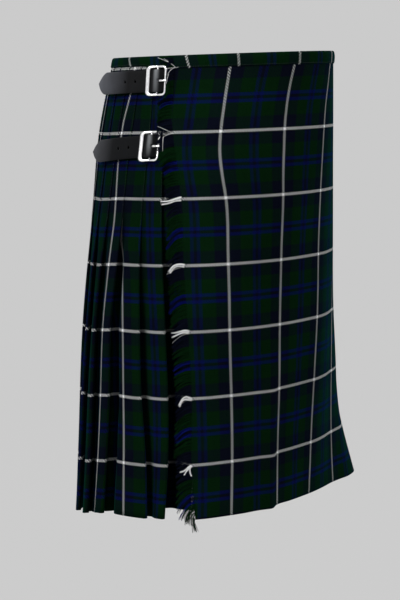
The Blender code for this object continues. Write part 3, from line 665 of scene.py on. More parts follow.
underApron = {
    "columns": 150, "rows": 90, "depth": 0.0056, "ease": 0.035, "end": 0.052, "hiddenShare": 0.65,
    "whiteArc": 0.083, "creaseShare": 0.6, "trough": 0.017, "troughRun": 0.020, "shade": 0.85,
}
pleats = {
    "count": 18, "rows": 78, "hiddenShare": 0.65, "crownShare": 0.70, "unevenShare": 0.16, "unevenStep": 2.4,
    "faceColumns": 20, "foldColumns": 5, "backColumns": 5, "innerColumns": 4, "lastTuck": 0.4,
    "nearTop": 0.0010,
    "sway": 0.0014, "swell": 0.0009, "openFrom": 0.20, "sewnLayer": 0.45, "troughRun": 0.007,
    "shadeFrom": 0.17, "shadeRun": 0.09, "shadeShare": (0.50, 0.92, 0.80), "shadeReach": 0.0062,
    # how far the white warp line lies behind each fold
    "whiteBehind": (0.062, 0.036, 0.019, 0.073, 0.043, 0.005, 0.059, 0.025, 0.079, 0.045, 0.011, 0.065,
                    0.031, 0.085, 0.051, 0.017, 0.071, 0.037),
    # depth of the dark gap at the start of each strip, where the pleats hang open
    "trough": (0.004, 0.018, 0.011, 0.012, 0.008, 0.011, 0.014, 0.008, 0.012, 0.009, 0.014, 0.008,
               0.011, 0.013, 0.008, 0.012, 0.009, 0.010),
}
# The same distances by drop for the second and third strips, which show them best
whiteDrift = {
    "drop": (0.0, 0.050, 0.086, 0.140, 0.186, 0.222, 0.250, 0.276, 0.366, 0.456, 0.544, 0.612),
    "strip2": (0.0365, 0.0365, 0.0365, 0.0365, 0.0367, 0.0380, 0.0398, 0.0355, 0.0323, 0.0332, 0.0388,
               0.0402),
    "strip3": (0.0125, 0.0146, 0.0215, 0.0222, 0.0185, 0.0165, 0.0172, 0.0180, 0.0181, 0.0203, 0.0200,
               0.0226),
}


def stripDepth(share, layer):
    return np.interp(share, (0.0, 0.5, 1.0), (0.0, pleats["crownShare"] * layer, 2.0 * layer))


# Arcs of the 18 fold edges and of the apron's left fold at one drop
def foldArcs(drop):
    known = [float(column(firstFolds, "fold%d" % number, drop)) for number in range(1, 6)]
    last = float(column(apronEdges, "left", drop)) - girth(drop)
    count = pleats["count"] + 1 - len(known)
    pitch = (known[-1] - last) / count
    number = np.arange(1, count)
    uneven = pleats["unevenShare"] * np.clip(drop / garment["length"], 0.0, 1.0)
    others = known[-1] - pitch * (number + uneven * np.sin(pleats["unevenStep"] * number))
    return np.array(known + list(others) + [last])


def underRow(drop):
    arcs = foldArcs(drop)
    layer = column(firstFolds, "layer", drop)
    u = underApron
    middle = -garment["cloth"] / 2
    depthAndShade = max(2.0 * layer, u["depth"])
    hidden = arcs[0] - u["hiddenShare"] * (arcs[0] - arcs[1])
    end = column(apronEdges, "left", drop) - u["end"]
    lead = np.linspace(hidden, arcs[0], 8)[:-1]
    leadStand = np.linspace(depthAndShade + stripDepth(u["hiddenShare"], layer), depthAndShade, 8)[:-1]
    face = np.linspace(arcs[0], end, u["columns"])
    faceStand = u["depth"] + (depthAndShade - u["depth"]) * np.exp(-(face - arcs[0]) / u["ease"])
    rows = np.concatenate([lead, face])
    opening = smoothStep((drop - pleats["openFrom"]) / 0.2)
    inTrough = opening * np.exp(-((rows - arcs[0] - 0.006) / u["troughRun"]) ** 2)
    stands = middle - np.concatenate([leadStand, faceStand]) - u["trough"] * inTrough
    clear = smoothStep((rows - column(apronEdges, "right", drop) - 0.004) / 0.02)
    stands = stands + creaseHeight(drop, rows) * u["creaseShare"] * clear
    across = arcLengths(rows, stands)
    # The last value is painted shade in the trough beside the first fold
    return rows, stands, across + rows[-1] - across[-1] - u["whiteArc"], u["shade"] * inTrough


def makeUnderApron():
    drops = np.linspace(0.0, garment["underLength"], underApron["rows"])
    piece = panelFromRows("underApronCloth", drops, underRow)
    giveThickness(piece, garment["shell"])
    finish(piece, ["under_apron"], clothMaterial)


# One row of the pleats, from the last pleat forward to the first. Each strip comes out from
# the fold behind it, swells, turns round its own edge and runs back under itself.
# Returned with it: U at the left and right side of each column of faces, and the painted fold shade.
def pleatRow(drop):
    p = pleats
    edges = foldArcs(drop)
    opening = smoothStep((drop - p["openFrom"]) / 0.2)
    shaded = smoothStep((drop - p["shadeFrom"]) / p["shadeRun"])
    number = np.arange(len(edges))
    sway = p["sway"] * opening * np.sin(1.7 * number + 9.0 * drop + 0.8 * np.sin(2.3 * number))
    sway[[0, 1, 2, 3, -1]] = 0.0
    edges = edges + sway
    layer = float(column(firstFolds, "layer", drop)) * (p["sewnLayer"] + (1.0 - p["sewnLayer"]) * opening)
    middle = -garment["cloth"] / 2
    tip = layer / 2
    depth = stripDepth(p["hiddenShare"], layer)
    foldTurn = np.linspace(0.5, -0.5, p["foldColumns"] + 2)[1:-1] * math.pi
    innerTurn = np.linspace(0.5, 1.5, p["innerColumns"] + 1)[1:] * math.pi
    size = p["faceColumns"] + p["foldColumns"] + p["backColumns"] + p["innerColumns"]
    arcs, stands, depthAndShade = [], [], []
    first = edges[-1] - apron["return"]
    firstStand = middle - 2.0 * layer - stripDepth(p["lastTuck"], layer)
    for strip in range(p["count"], 0, -1):
        own, behind = edges[strip - 1], edges[strip]
        width = own - behind
        swell = p["swell"] * opening * math.sin(2.1 * strip + 1.0)
        at = (first, behind, (own + behind) / 2, own - tip)
        lift = (firstStand, middle - 2.0 * layer, middle - p["crownShare"] * layer + swell, middle)
        share = np.linspace(0.0, 1.0, p["faceColumns"])
        faceArc = first + (own - tip - first) * (1.0 - (1.0 - share) ** 1.3)
        run = min(p["troughRun"], 0.22 * width)
        trough = p["trough"][strip - 1] * opening * np.exp(-((faceArc - behind - 0.4 * run) / run) ** 2)
        near = np.exp(-((faceArc - behind - 0.3 * p["shadeReach"]) / p["shadeReach"]) ** 2)
        inner = own - p["hiddenShare"] * width
        share = np.linspace(0.0, 1.0, p["backColumns"])
        arcs += [faceArc, own - tip + tip * np.cos(foldTurn), own - tip + (inner + tip - own + tip) * share,
                 inner + tip + tip * np.cos(innerTurn)]
        stands += [smoothThrough(at, lift, faceArc) - trough, middle - tip + tip * np.sin(foldTurn),
                   middle - layer - depth * share ** 1.2,
                   middle - layer - depth - tip + tip * np.sin(innerTurn)]
        # Painted shade in the dark gap at the start of each strip, once the pleats hang open
        depthAndShade += [p["shadeShare"][min(strip, 3) - 1] * shaded * near, np.zeros(size - p["faceColumns"])]
        first, firstStand = arcs[-1][-1] + 1e-5, stands[-1][-1]
    count = p["count"] * size - p["innerColumns"] + 1
    arcs, stands, depthAndShade = (np.concatenate(part)[:count] for part in (arcs, stands, depthAndShade))
    run = arcLengths(arcs, stands)
    place = np.arange(count) // size
    foldRun = run[place * size + p["faceColumns"] + p["foldColumns"] // 2]
    white = np.array(p["whiteBehind"])
    white[1:3] = column(whiteDrift, "strip2", drop), column(whiteDrift, "strip3", drop)
    across = run - foldRun + white[p["count"] - 1 - place]
    return arcs, stands, across[:-1], across[:-1] + np.diff(run), depthAndShade


def makePleats():
    drops = np.linspace(0.0, garment["backLength"], pleats["rows"])
    arcs, stands, left, right, depthAndShade = (np.array(part) for part in zip(*[pleatRow(drop) for drop in drops]))
    down = drops - whiteWeft - pleats["nearTop"] * (1.0 - smoothStep(drops / 0.05))
    down = np.broadcast_to(down[:, None], arcs.shape)
    piece = gridPiece("pleatedCloth", onBody(drops[:, None], arcs, stands), left, right, down)
    addFoldShade(piece, depthAndShade)
    giveThickness(piece, garment["shell"])
    finish(piece, ["pleated_back"], clothMaterial)


makeUnderApron()
makePleats()
print("kilt: under apron and pleats made")

waistband = {
    "drop": 0.0155, "columns": 560, "innerColumns": 170, "dive": 0.012, "swell": 0.0004, "shell": 0.0008,
    "downFrom": 0.198, "backDrop": 0.0112, "backFrom": -0.018, "backRun": 0.016,
    # arcs of the band's own white stripes along its middle, and how far each leans forward
    # from its top edge to its bottom edge
    "whiteArcs": (-0.0674, 0.0325, 0.0996, 0.1895), "lean": (0.0135, 0.0052, 0.0018, 0.0004),
}


# Rows of the band: up its face, over the top edge and a little way down inside
def bandProfile():
    w = waistband
    drop = np.array([w["drop"], 0.0150, 0.0130, 0.0100, 0.0065, 0.0032, 0.0008, -0.0006, -0.0013,
                     -0.0014, -0.0010])
    stand = np.array([-0.0002, 0.0003, 0.0008, 0.0010, 0.0011, 0.0010, 0.0007, 0.0002, -0.0006,
                      -0.0014, -0.0019])
    return drop, stand + garment["seam"] + garment["cloth"] / 2 - 0.0008


# Drop of the band's lower edge: it is narrower over the pleats than over the apron
def bandBottom(arcs):
    w = waistband
    inside = np.minimum(arcs - column(apronEdges, "left", 0.008), girth(0.008) + w["backFrom"] - arcs)
    return w["drop"] - (w["drop"] - w["backDrop"]) * smoothStep(inside / w["backRun"])


def makeWaistband():
    w = waistband
    drop, lift = bandProfile()
    repeat = tartan["repeat"]
    around = girth(0.008)
    start = float(column(apronEdges, "right", 0.008))
    turn = float(column(firstFolds, "fold1", 0.008)) + around
    end = float(column(apronEdges, "left", 0.008)) - underApron["end"] + around
    outer = np.linspace(start, turn, w["columns"])
    inner = np.linspace(turn + w["dive"], end, w["innerColumns"])
    arcs = np.concatenate([outer, inner])
    below = np.concatenate([np.zeros(len(outer)), np.full(len(inner), underApron["depth"])])
    ripple = w["swell"] * np.sin(arcs * 61.0 + 2.0 * np.sin(arcs * 23.0))
    rippled = np.interp(drop, (-0.001, 0.006, 0.0155), (0.0, 1.0, 0.3))[:, None]
    stand = lift[:, None] - below + ripple * rippled
    narrow = bandBottom(arcs) / w["drop"]
    drops = np.where(drop[:, None] > 0.0, drop[:, None] * narrow, drop[:, None])
    points = onBody(drops, np.broadcast_to(arcs, stand.shape), stand)
    known = np.array(w["whiteArcs"])
    known = np.concatenate([known, np.arange(known[-1] + repeat, known[0] + around - repeat / 2, repeat),
                            [known[0] + around], known[1] + around + repeat * np.arange(8)])
    lean = np.interp(known, w["whiteArcs"], w["lean"])
    lean = np.where(known > around - 0.10, w["lean"][0], lean)
    share = np.clip(drop / w["drop"], 0.0, 1.0) - 0.5
    across = np.array([np.interp(arcs, known + lean * part, np.arange(len(known)) - 1.0) for part in share])
    across = across * repeat
    run = arcLengths(drop, lift)
    down = np.broadcast_to((w["downFrom"] * repeat + run)[:, None], stand.shape)
    piece = gridPiece("waistbandCloth", points, across[:, :-1], across[:, 1:], down)
    piece.data.flip_normals()
    giveThickness(piece, w["shell"])
    finish(piece, ["waistband"], clothMaterial)


makeWaistband()
print("kilt: waistband made")

fringe = {
    "locks": 168, "perLock": 14, "steps": 8, "reach": 0.0190, "spread": 0.10, "lift": 0.0026, "close": 0.40,
    "thread": 0.00070, "seed": 11, "tuftFrom": 0.585, "tuftSwing": 0.017,
    "root": 0.0010, "thin": 0.35, "power": 2.3, "tuftShort": 0.35, "bandEnd": 0.0055, "bandLift": 0.0040,
    "clear": 0.012, "blend": 0.006, "above": 0.0055, "strapLift": 0.0095, "overBar": -0.0008,
    "lockThreads": 9, "lockThread": 0.00085, "lockWidth": 0.0014,
}
# How far the fringe's threads hang down at their tips, by drop
fringeFall = {
    "drop": (0.0, 0.020, 0.085, 0.110, 0.170, 0.200, 0.235, 0.285, 0.320, 0.400, 0.480, 0.560, 0.600, 0.612),
    "fall": (0.003, 0.007, 0.006, 0.010, 0.006, 0.010, 0.017, 0.009, 0.012, 0.008, 0.011, 0.009, 0.020,
             0.014),
}
# Strands of the white weft locks, each as arcs and drops of five points
whiteLocks = (
    ((0.0386, 0.0326, 0.0266, 0.0186, 0.0105), (0.1865, 0.1880, 0.1900, 0.1915, 0.1915)),
    ((0.0386, 0.0306, 0.0262, 0.0190, 0.0118), (0.1900, 0.1905, 0.1925, 0.1945, 0.1955)),
    ((0.0500, 0.0449, 0.0390, 0.0338, 0.0305), (0.2755, 0.2745, 0.2750, 0.2780, 0.2840)),
    ((0.0500, 0.0443, 0.0395, 0.0350, 0.0317), (0.2775, 0.2765, 0.2770, 0.2800, 0.2860)),
    ((0.0620, 0.0570, 0.0511, 0.0452, 0.0388), (0.3635, 0.3620, 0.3625, 0.3640, 0.3645)),
    ((0.0615, 0.0550, 0.0492, 0.0440, 0.0401), (0.3650, 0.3640, 0.3655, 0.3680, 0.3700)),
    ((0.0710, 0.0663, 0.0618, 0.0573, 0.0536), (0.4520, 0.4500, 0.4490, 0.4525, 0.4600)),
    ((0.0710, 0.0650, 0.0605, 0.0567, 0.0549), (0.4535, 0.4525, 0.4525, 0.4560, 0.4620)),
    ((0.0765, 0.0725, 0.0681, 0.0643, 0.0611), (0.5400, 0.5420, 0.5455, 0.5475, 0.5480)),
    ((0.0765, 0.0740, 0.0715, 0.0690, 0.0670), (0.5405, 0.5425, 0.5450, 0.5480, 0.5520)),
    ((0.0765, 0.0745, 0.0739, 0.0750, 0.0768), (0.5410, 0.5425, 0.5450, 0.5500, 0.5540)),
)
fastenings = {
    "Top": {"arc": -0.0102, "drop": 0.0312, "turn": -1.0, "sag": 0.002, "tail": 0.118, "tipStand": 0.0150},
    "Lower": {"arc": -0.0136, "drop": 0.1180, "turn": -1.0, "sag": 0.0068, "tail": 0.116, "tipStand": 0.0115},
    "Left": {"arc": 0.5050, "drop": 0.0312, "turn": 1.0, "sag": 0.004, "tail": 0.104, "tipStand": 0.0075},
}
strap = {
    "width": 0.030, "leather": 0.0022, "tipLength": 0.020, "tipRound": 1.6, "tipPower": 0.80,
    "holeRuns": (0.0370, 0.0560), "holeRadius": 0.0018, "holeDepth": 0.004,
    "slot": (-0.0085, -0.0022), "slotStands": (-0.0004, 0.011), "crown": 0.0002,
}
buckle = {
    "width": 0.0315, "height": 0.0405, "corner": 0.0065, "bar": 0.0032, "thick": 0.0028, "tailBar": 0.0056,
    "pinRadius": 0.0011, "pinStand": 0.0031, "frameStand": 0.0063, "prongWidth": 0.0030, "prongThick": 0.0014,
    "prongClear": 0.0006,
}
chape = {"leather": 0.0010, "width": 0.026, "long": 0.026, "short": 0.0076, "slot": (-0.0060, 0.0014)}


# Threads of the fringe: each leaves the apron's edge level, then hangs down as a power of its
# run. Those of white yarn run together in locks, along the table's strands.
def makeFringe():
    f = fringe
    length = garment["length"]
    chance = np.random.default_rng(f["seed"])
    rootDrop = np.sort(chance.uniform(0.0006, length - 0.0004, f["locks"] * f["perLock"]))
    turns = (rootDrop - whiteWeft) / tartan["repeat"]
    rootDrop = rootDrop[np.abs(turns - np.round(turns)) > tartan["whiteTo"] / 2]
    count = len(rootDrop)
    lock = np.minimum((rootDrop / length * f["locks"]).astype(int), f["locks"] - 1)
    lockTip = (np.arange(f["locks"]) + 0.5) / f["locks"] * length
    lockWobble = chance.uniform(-1.0, 1.0, (f["locks"], 4))[lock]
    wobble = chance.uniform(-1.0, 1.0, (count, 4))
    reach = f["reach"] * (1.0 + f["spread"] * (lockWobble[:, 0] + wobble[:, 0]))
    fall = column(fringeFall, "fall", rootDrop) * (1.0 + 0.20 * lockWobble[:, 1] + 0.12 * wobble[:, 1])
    lift = f["lift"] * (1.0 + 0.4 * lockWobble[:, 2] + 0.3 * wobble[:, 2])
    close = f["close"] * (lockTip[lock] - rootDrop)
    below = np.clip((rootDrop - f["tuftFrom"]) / (length - f["tuftFrom"]), 0.0, 1.0)
    reach = reach * (1.0 - f["tuftShort"] * below)
    onBand = rootDrop < f["bandEnd"]
    lift = np.where(onBand, f["bandLift"], lift)
    for name in ("Top", "Lower"):
        fastening = fastenings[name]
        away = np.abs(rootDrop - fastening["drop"] + f["above"])
        near = np.clip((strap["width"] / 2 + f["clear"] - away) / f["blend"], 0.0, 1.0)
        near = np.where(onBand, 0.0, near)
        room = float(column(apronEdges, "right", fastening["drop"])) - fastening["arc"]
        room = room - buckle["width"] / 2 + f["overBar"]
        reach = reach + (np.minimum(reach, room * (1.0 + 0.15 * wobble[:, 0])) - reach) * near
        lift = lift + (f["strapLift"] - lift) * near
    t = np.linspace(0.0, 1.0, f["steps"])[None, :]
    edgeArc = column(apronEdges, "right", rootDrop)[:, None]
    arc = edgeArc + f["root"] - (f["root"] + reach[:, None]) * t ** 0.95
    arc = arc + f["tuftSwing"] * below[:, None] * t ** 2
    power = f["power"] + 0.4 * wobble[:, 3:4]
    drop = rootDrop[:, None] + fall[:, None] * t ** power + close[:, None] * t
    stand = -garment["cloth"] / 2 + lift[:, None] * np.sin(np.clip(t * 1.5, 0.0, 1.0) * math.pi / 2)
    paths = onBody(drop, arc, stand)
    sizes = f["thread"] * (1.0 - f["thin"] * t) * np.ones((count, 1))
    lockPaths = whiteLockPaths(chance)
    lockSizes = f["lockThread"] * (1.0 - 0.3 * t) * np.ones((len(lockPaths), 1))
    piece = tubePiece("fringeThreads", np.concatenate([paths, lockPaths]), np.concatenate([sizes, lockSizes]),
                      3, filled=False)
    total = count + len(lockPaths)
    down = np.concatenate([rootDrop - whiteWeft, np.zeros(len(lockPaths))])
    places = np.stack([chance.uniform(0.0, 1.0, total), down], axis=1)
    setClothMetres(piece, np.repeat(places, len(piece.data.loops) // total, axis=0))
    finish(piece, ["apron_fringe"], threadMaterial)


# Threads of the white locks, spread across each strand and closing up toward its tip
def whiteLockPaths(chance):
    f = fringe
    t = np.linspace(0.0, 1.0, f["steps"])
    paths = []
    for arcs, drops in whiteLocks:
        at = np.linspace(0.0, 1.0, len(arcs))
        arc = smoothThrough(at, arcs, t)
        drop = smoothThrough(at, drops, t)
        run = np.stack([np.gradient(arc), np.gradient(drop)])
        run = run / np.linalg.norm(run, axis=0)
        place = chance.uniform(-1.0, 1.0, (f["lockThreads"], 1))
        away = f["lockWidth"] * place * (1.0 - 0.45 * t)
        lift = 0.0014 + 0.0022 * np.sin(t * math.pi / 2) + 0.0007 * (1.0 - place ** 2)
        short = 1.0 - 0.08 * chance.uniform(0.0, 1.0, (f["lockThreads"], 1)) * t
        paths.append(onBody(drop[0] + (drop - drop[0]) * short + away * run[0],
                            arc[0] + (arc - arc[0]) * short - away * run[1], lift - garment["cloth"] / 2))
    return np.concatenate(paths)


# Loose white threads that stand off beside the buckles, as (arc, drop, stand) at both ends and
# the bow between them
looseThreads = (
    (0.0150, 0.0140, 0.001, 0.0015, 0.0020, 0.009, 0.0008),
    (0.0090, 0.0085, 0.005, -0.0075, 0.0008, 0.009, 0.0006),
    (0.0130, 0.0145, 0.002, 0.0208, 0.0140, 0.005, -0.0006),
    (0.0140, 0.0150, 0.002, 0.0040, 0.0165, 0.011, 0.0005),
    (0.0130, 0.0150, 0.002, 0.0087, 0.0240, 0.010, 0.0008),
    (0.0095, 0.0230, 0.009, 0.0080, 0.0360, 0.011, 0.0004),
    (0.0165, 0.1015, 0.001, 0.0025, 0.0935, 0.009, 0.0006),
    (0.0160, 0.1015, 0.001, -0.0020, 0.0918, 0.009, 0.0010),
    (0.0190, 0.1020, 0.001, 0.0065, 0.1035, 0.009, 0.0005),
    (0.0165, 0.1020, 0.002, 0.0070, 0.1065, 0.009, 0.0004),
    (0.0074, 0.1060, 0.009, 0.0092, 0.1250, 0.010, 0.0003),
)


def makeLooseThreads():
    rows = np.array(looseThreads)[:, :, None]
    t = np.linspace(0.0, 1.0, 9)[None, :]
    startArc, startDrop, startStand, endArc, endDrop, endStand, bend = (rows[:, place] for place in range(7))
    bow = np.sin(math.pi * t) * bend
    arc = startArc + (endArc - startArc) * t
    drop = startDrop + (endDrop - startDrop) * t - bow
    stand = startStand + (endStand - startStand) * np.sin(t * math.pi / 2) + np.abs(bow)
    sizes = 0.0006 * (1.0 - 0.5 * t) * np.ones((len(rows), 1))
    piece = tubePiece("looseThreads", onBody(drop, arc, stand), sizes, 5)
    setClothMetres(piece, (0.0, tartan["repeat"]))
    finish(piece, [], threadMaterial)


makeFringe()
makeLooseThreads()
print("kilt: fringe made")

# A spot near a buckle: run along the strap toward its tail, rise up its width, stand
def strapSpots(fastening, run, rise, stand):
    share = np.maximum(run, 0.0) / fastening["tail"]
    drop = fastening["drop"] + fastening["sag"] * share - rise
    return onBody(drop, fastening["arc"] + fastening["turn"] * run, stand)


# Middle line of a strap: from under the apron's edge, over the pin and out to the tip
def strapLine(fastening):
    seam = garment["seam"]
    leather = strap["leather"]
    onChape = buckle["pinStand"] - buckle["pinRadius"] + leather / 2
    onPin = buckle["pinStand"] + buckle["pinRadius"] + 2 * seam + chape["leather"] + leather / 2
    onLap = onChape + chape["leather"] + seam
    onCloth = seam + 0.0003 + leather / 2
    if fastening["turn"] < 0.0:
        edge = fastening["arc"] - float(column(apronEdges, "right", fastening["drop"] - strap["width"] / 2))
        tucked = -garment["cloth"] - seam - leather / 2
        line = [(edge - 0.020, tucked), (edge - 0.008, tucked), (edge + 0.0030, tucked)]
    else:
        edge = float(column(apronEdges, "left", fastening["drop"])) - fastening["arc"]
        line = [(edge + 0.0022, -0.0010), (edge + 0.0070, -0.0004)]
    tail = fastening["tail"]
    tip = fastening["tipStand"]
    line += [(edge + 0.0080, onCloth - 0.0007), (-0.0095, onCloth + 0.0006), (-0.0035, onPin - 0.0012)]
    line += [(0.0, onPin), (0.0035, onPin - 0.0006), (0.0080, onLap), (0.0114, onChape)]
    line += [(0.0150, onChape), (0.0260, onChape), (0.4 * tail, 0.0037), (0.7 * tail, 0.45 * tip + 0.0020)]
    line.append((tail, tip))
    return np.array(line)


# Closed band along a strap line: its section is a flat bar with round edges, which the
# given half widths make narrower toward the tip
def bandPiece(name, fastening, runs, stands, halves, thickness, crown=0.0):
    step = np.gradient(np.stack([runs, stands], axis=1), axis=0)
    step /= np.linalg.norm(step, axis=1, keepdims=True)
    edge = thickness / 2
    turn = np.linspace(-0.5, 0.5, 7) * math.pi
    flat = np.linspace(1.0, -1.0, 9)[1:-1]
    wide = np.concatenate([np.ones(7), flat, -np.ones(7), -flat])
    roundOut = np.concatenate([np.cos(turn), np.zeros(7), -np.cos(turn), np.zeros(7)])
    high = np.concatenate([np.sin(turn), np.ones(7), -np.sin(turn), -np.ones(7)])
    rise = wide * np.maximum(halves - edge, 0.0002)[:, None] + roundOut * edge
    lift = high * edge + crown * np.maximum(high, 0.0) * (1.0 - (rise / halves[:, None]) ** 2)
    run = runs[:, None] - step[:, 1:2] * lift
    stand = stands[:, None] + step[:, 0:1] * lift
    return ringPiece(name, strapSpots(fastening, run, rise, stand))


def strapSamples(fastening):
    line = strapLine(fastening)
    tail = fastening["tail"]
    start = tail - strap["tipLength"]
    runs = np.concatenate([np.arange(line[0, 0], start, 0.0016),
                           start + strap["tipLength"] * np.sin(np.linspace(0.0, 1.0, 18) * math.pi / 2)])
    fine = np.interp(runs, line[:, 0], line[:, 1])
    wide = 0.0030
    around = np.linspace(-1.0, 1.0, 9)
    weight = np.exp(-2.0 * around ** 2)
    weight /= weight.sum()
    soft = sum(w * np.interp(runs + wide * a, line[:, 0], line[:, 1]) for w, a in zip(weight, around))
    return runs, np.where(runs > 0.005, soft, 0.5 * (soft + fine))


def makeStrap(key):
    fastening = fastenings[key]
    runs, stands = strapSamples(fastening)
    intoTip = np.clip((runs - fastening["tail"]) / strap["tipLength"] + 1.0, 0.0, 1.0)
    halves = strap["width"] / 2 * np.maximum(1.0 - intoTip ** strap["tipRound"], 0.0) ** strap["tipPower"]
    halves = np.maximum(halves, 0.0012)
    piece = bandPiece("strap" + key, fastening, runs, stands, halves, strap["leather"], strap["crown"])
    wide, high = squarish(fullTurn(20), 1.0)
    for run in strap["holeRuns"]:
        stand = float(np.interp(run, runs, stands))
        cutHole(piece, fastening, run + strap["holeRadius"] * wide, strap["holeRadius"] * high,
                (stand - strap["holeDepth"], stand + strap["holeDepth"]))
    cutSlit(piece, fastening, strap["slot"], strap["slotStands"])
    material = makeLeatherMaterial(grainGroup, "strapLeather" + key, key, barPlace(fastening))
    finish(piece, ["strap_" + key.lower()], material)


def barPlace(fastening):
    spot = strapSpots(fastening, np.zeros(1), np.zeros(1), np.full(1, 0.006))[0]
    return tuple(float(value) for value in spot)


# Cuts a hole of the given outline through a strap or chape, between two stands
def cutHole(piece, fastening, runs, rises, stands):
    rings = [strapSpots(fastening, runs, rises, stand) for stand in stands]
    cutter = ringPiece(piece.name + "Cutter", np.array(rings))
    cut = piece.modifiers.new("cut", "BOOLEAN")
    cut.operation = "DIFFERENCE"
    cut.object = cutter
    graph = bpy.context.evaluated_depsgraph_get()
    done = bpy.data.meshes.new_from_object(piece.evaluated_get(graph))
    piece.modifiers.remove(cut)
    old = piece.data
    piece.data = done
    bpy.data.meshes.remove(old)
    bpy.data.objects.remove(cutter)


def cutSlit(piece, fastening, runs, stands):
    half = buckle["prongWidth"] / 2 + buckle["prongClear"]
    corners = np.array([runs[0], runs[1], runs[1], runs[0]])
    cutHole(piece, fastening, corners, half * np.array([-1.0, -1.0, 1.0, 1.0]), stands)


def frameStand(run):
    share = np.minimum(np.abs(run) / (buckle["width"] / 2), 1.0)
    return buckle["pinStand"] + (buckle["frameStand"] - buckle["pinStand"]) * (1.0 - (1.0 - share) ** 2)


# Rectangle with round corners as (run, rise): nine points at each corner, eight on each side
def roundedRectangle(left, right, half, corner):
    outline = []
    reach = half - corner
    for centreRun, centreRise, start in ((right - corner, reach, 0.0), (left + corner, reach, 0.5),
                                         (left + corner, -reach, 1.0), (right - corner, -reach, 1.5)):
        turn = math.pi * (start + 0.5 * np.linspace(0.0, 1.0, 9))
        outline.append(np.stack([centreRun + corner * np.cos(turn),
                                 centreRise + corner * np.sin(turn)], axis=1))
        share = np.linspace(0.0, 1.0, 10)[1:-1]
        if start == 0.0 or start == 1.0:
            runs = (right - corner) + (left - right + 2 * corner) * share
            rises = np.full(8, half)
        else:
            runs = np.full(8, left)
            rises = reach - 2 * reach * share
        if start >= 1.0:
            runs, rises = left + right - runs, -rises
        outline.append(np.stack([runs, rises], axis=1))
    return np.concatenate(outline)


# Buckle frame: a rounded bar between an outer and an inner rounded rectangle, thicker on the
# tail side, and the pin across its middle
def makeBuckle(key):
    fastening = fastenings[key]
    b = buckle
    half = b["width"] / 2
    outer = roundedRectangle(-half, half, b["height"] / 2, b["corner"])
    inner = roundedRectangle(-half + b["bar"], half - b["tailBar"], b["height"] / 2 - b["bar"],
                             b["corner"] - b["bar"])
    wide, high = squarish(fullTurn(16), 0.8)
    spot = outer[:, None] + (inner - outer)[:, None] * (0.5 - 0.5 * wide)[None, :, None]
    barWidth = np.linalg.norm(inner - outer, axis=1)
    bulge = 1.0 + 0.35 * smoothStep((barWidth - b["bar"]) / (b["tailBar"] - b["bar"]))
    stand = frameStand(spot[..., 0]) + 0.5 * high * b["thick"] * bulge[:, None]
    points = strapSpots(fastening, spot[..., 0], spot[..., 1], stand)
    frameMesh = ringPiece("buckle" + key, points, closedPath=True)
    rises = np.linspace(-1.0, 1.0, 13)[:, None] * (b["height"] / 2 - b["bar"] / 2)
    wide, high = squarish(fullTurn(14), 1.0)
    points = strapSpots(fastening, b["pinRadius"] * wide, rises, b["pinStand"] + b["pinRadius"] * high)
    joinInto(frameMesh, ringPiece("pin" + key, points))
    finish(frameMesh, ["buckle_" + key.lower()], steelMaterial)


def joinInto(piece, other):
    work = bmesh.new()
    work.from_mesh(piece.data)
    work.from_mesh(other.data)
    work.to_mesh(piece.data)
    work.free()
    bpy.data.objects.remove(other)


# Prong: wrapped round the pin, then over the strap to rest on the near bar, flatter and
# narrower toward its blunt tip
def makeProng(key):
    b = buckle
    wrap = b["pinRadius"] + b["prongThick"] / 2 + 0.0001
    turns = np.radians(np.linspace(-150.0, 95.0, 14))
    loop = np.stack([wrap * np.cos(turns), b["pinStand"] + wrap * np.sin(turns)], axis=1)
    rest = b["frameStand"] + b["thick"] / 2 + 0.0003 + b["prongThick"] / 2
    far = np.array([(-0.0034, b["pinStand"] + 0.0027), (-0.0068, rest - 0.0012), (-0.0105, rest - 0.0002),
                    (-0.0140, rest), (-0.0172, rest - 0.0005)])
    line = np.concatenate([loop, far])
    length = arcLengths(line[:, 0], line[:, 1])
    at = np.linspace(0.0, length[-1], 44)
    run = smoothThrough(length, line[:, 0], at)
    stand = smoothThrough(length, line[:, 1], at)
    half = b["prongWidth"] / 2 * np.interp(at / length[-1], (0.0, 0.55, 0.9, 1.0), (1.0, 1.0, 0.7, 0.35))
    step = np.stack([np.gradient(run), np.gradient(stand)], axis=1)
    step /= np.linalg.norm(step, axis=1, keepdims=True)
    wide, high = squarish(fullTurn(14), 0.7)
    high = high * b["prongThick"] / 2
    points = strapSpots(fastenings[key], run[:, None] - step[:, 1:2] * high, half[:, None] * wide,
                        stand[:, None] + step[:, 0:1] * high)
    finish(ringPiece("prong" + key, points), ["prong_" + key.lower()], steelMaterial)


# Chape: the leather tab that lies on the cloth, wraps the pin and comes back over itself
def makeChape(key):
    fastening = fastenings[key]
    c = chape
    middle = buckle["pinRadius"] + garment["seam"] + c["leather"] / 2
    low = buckle["pinStand"] - middle
    high = low + c["leather"] + garment["seam"]
    turns = np.radians(np.linspace(-80.0, 90.0, 12))
    line = [(c["long"], low), (0.010, low), (0.0, low)]
    line += [(-middle * math.cos(turn), buckle["pinStand"] + middle * math.sin(turn)) for turn in turns]
    line += [(0.0022, buckle["pinStand"] + middle * 0.78), (0.0042, high), (c["short"], high)]
    line = np.array(line)
    length = arcLengths(line[:, 0], line[:, 1])
    at = np.linspace(0.0, length[-1], 60)
    runs, stands = (np.interp(at, length, line[:, axis]) for axis in range(2))
    piece = bandPiece("chape" + key, fastening, runs, stands, np.full(len(at), c["width"] / 2), c["leather"])
    cutSlit(piece, fastening, c["slot"], (buckle["pinStand"] - 0.0002, 0.010))
    material = makeLeatherMaterial(grainGroup, "chapeLeather" + key, "chape", barPlace(fastening))
    finish(piece, ["chape_" + key.lower()], material)


for key in fastenings:
    makeStrap(key)
    makeBuckle(key)
    makeProng(key)
    makeChape(key)
print("kilt: straps and buckles made")

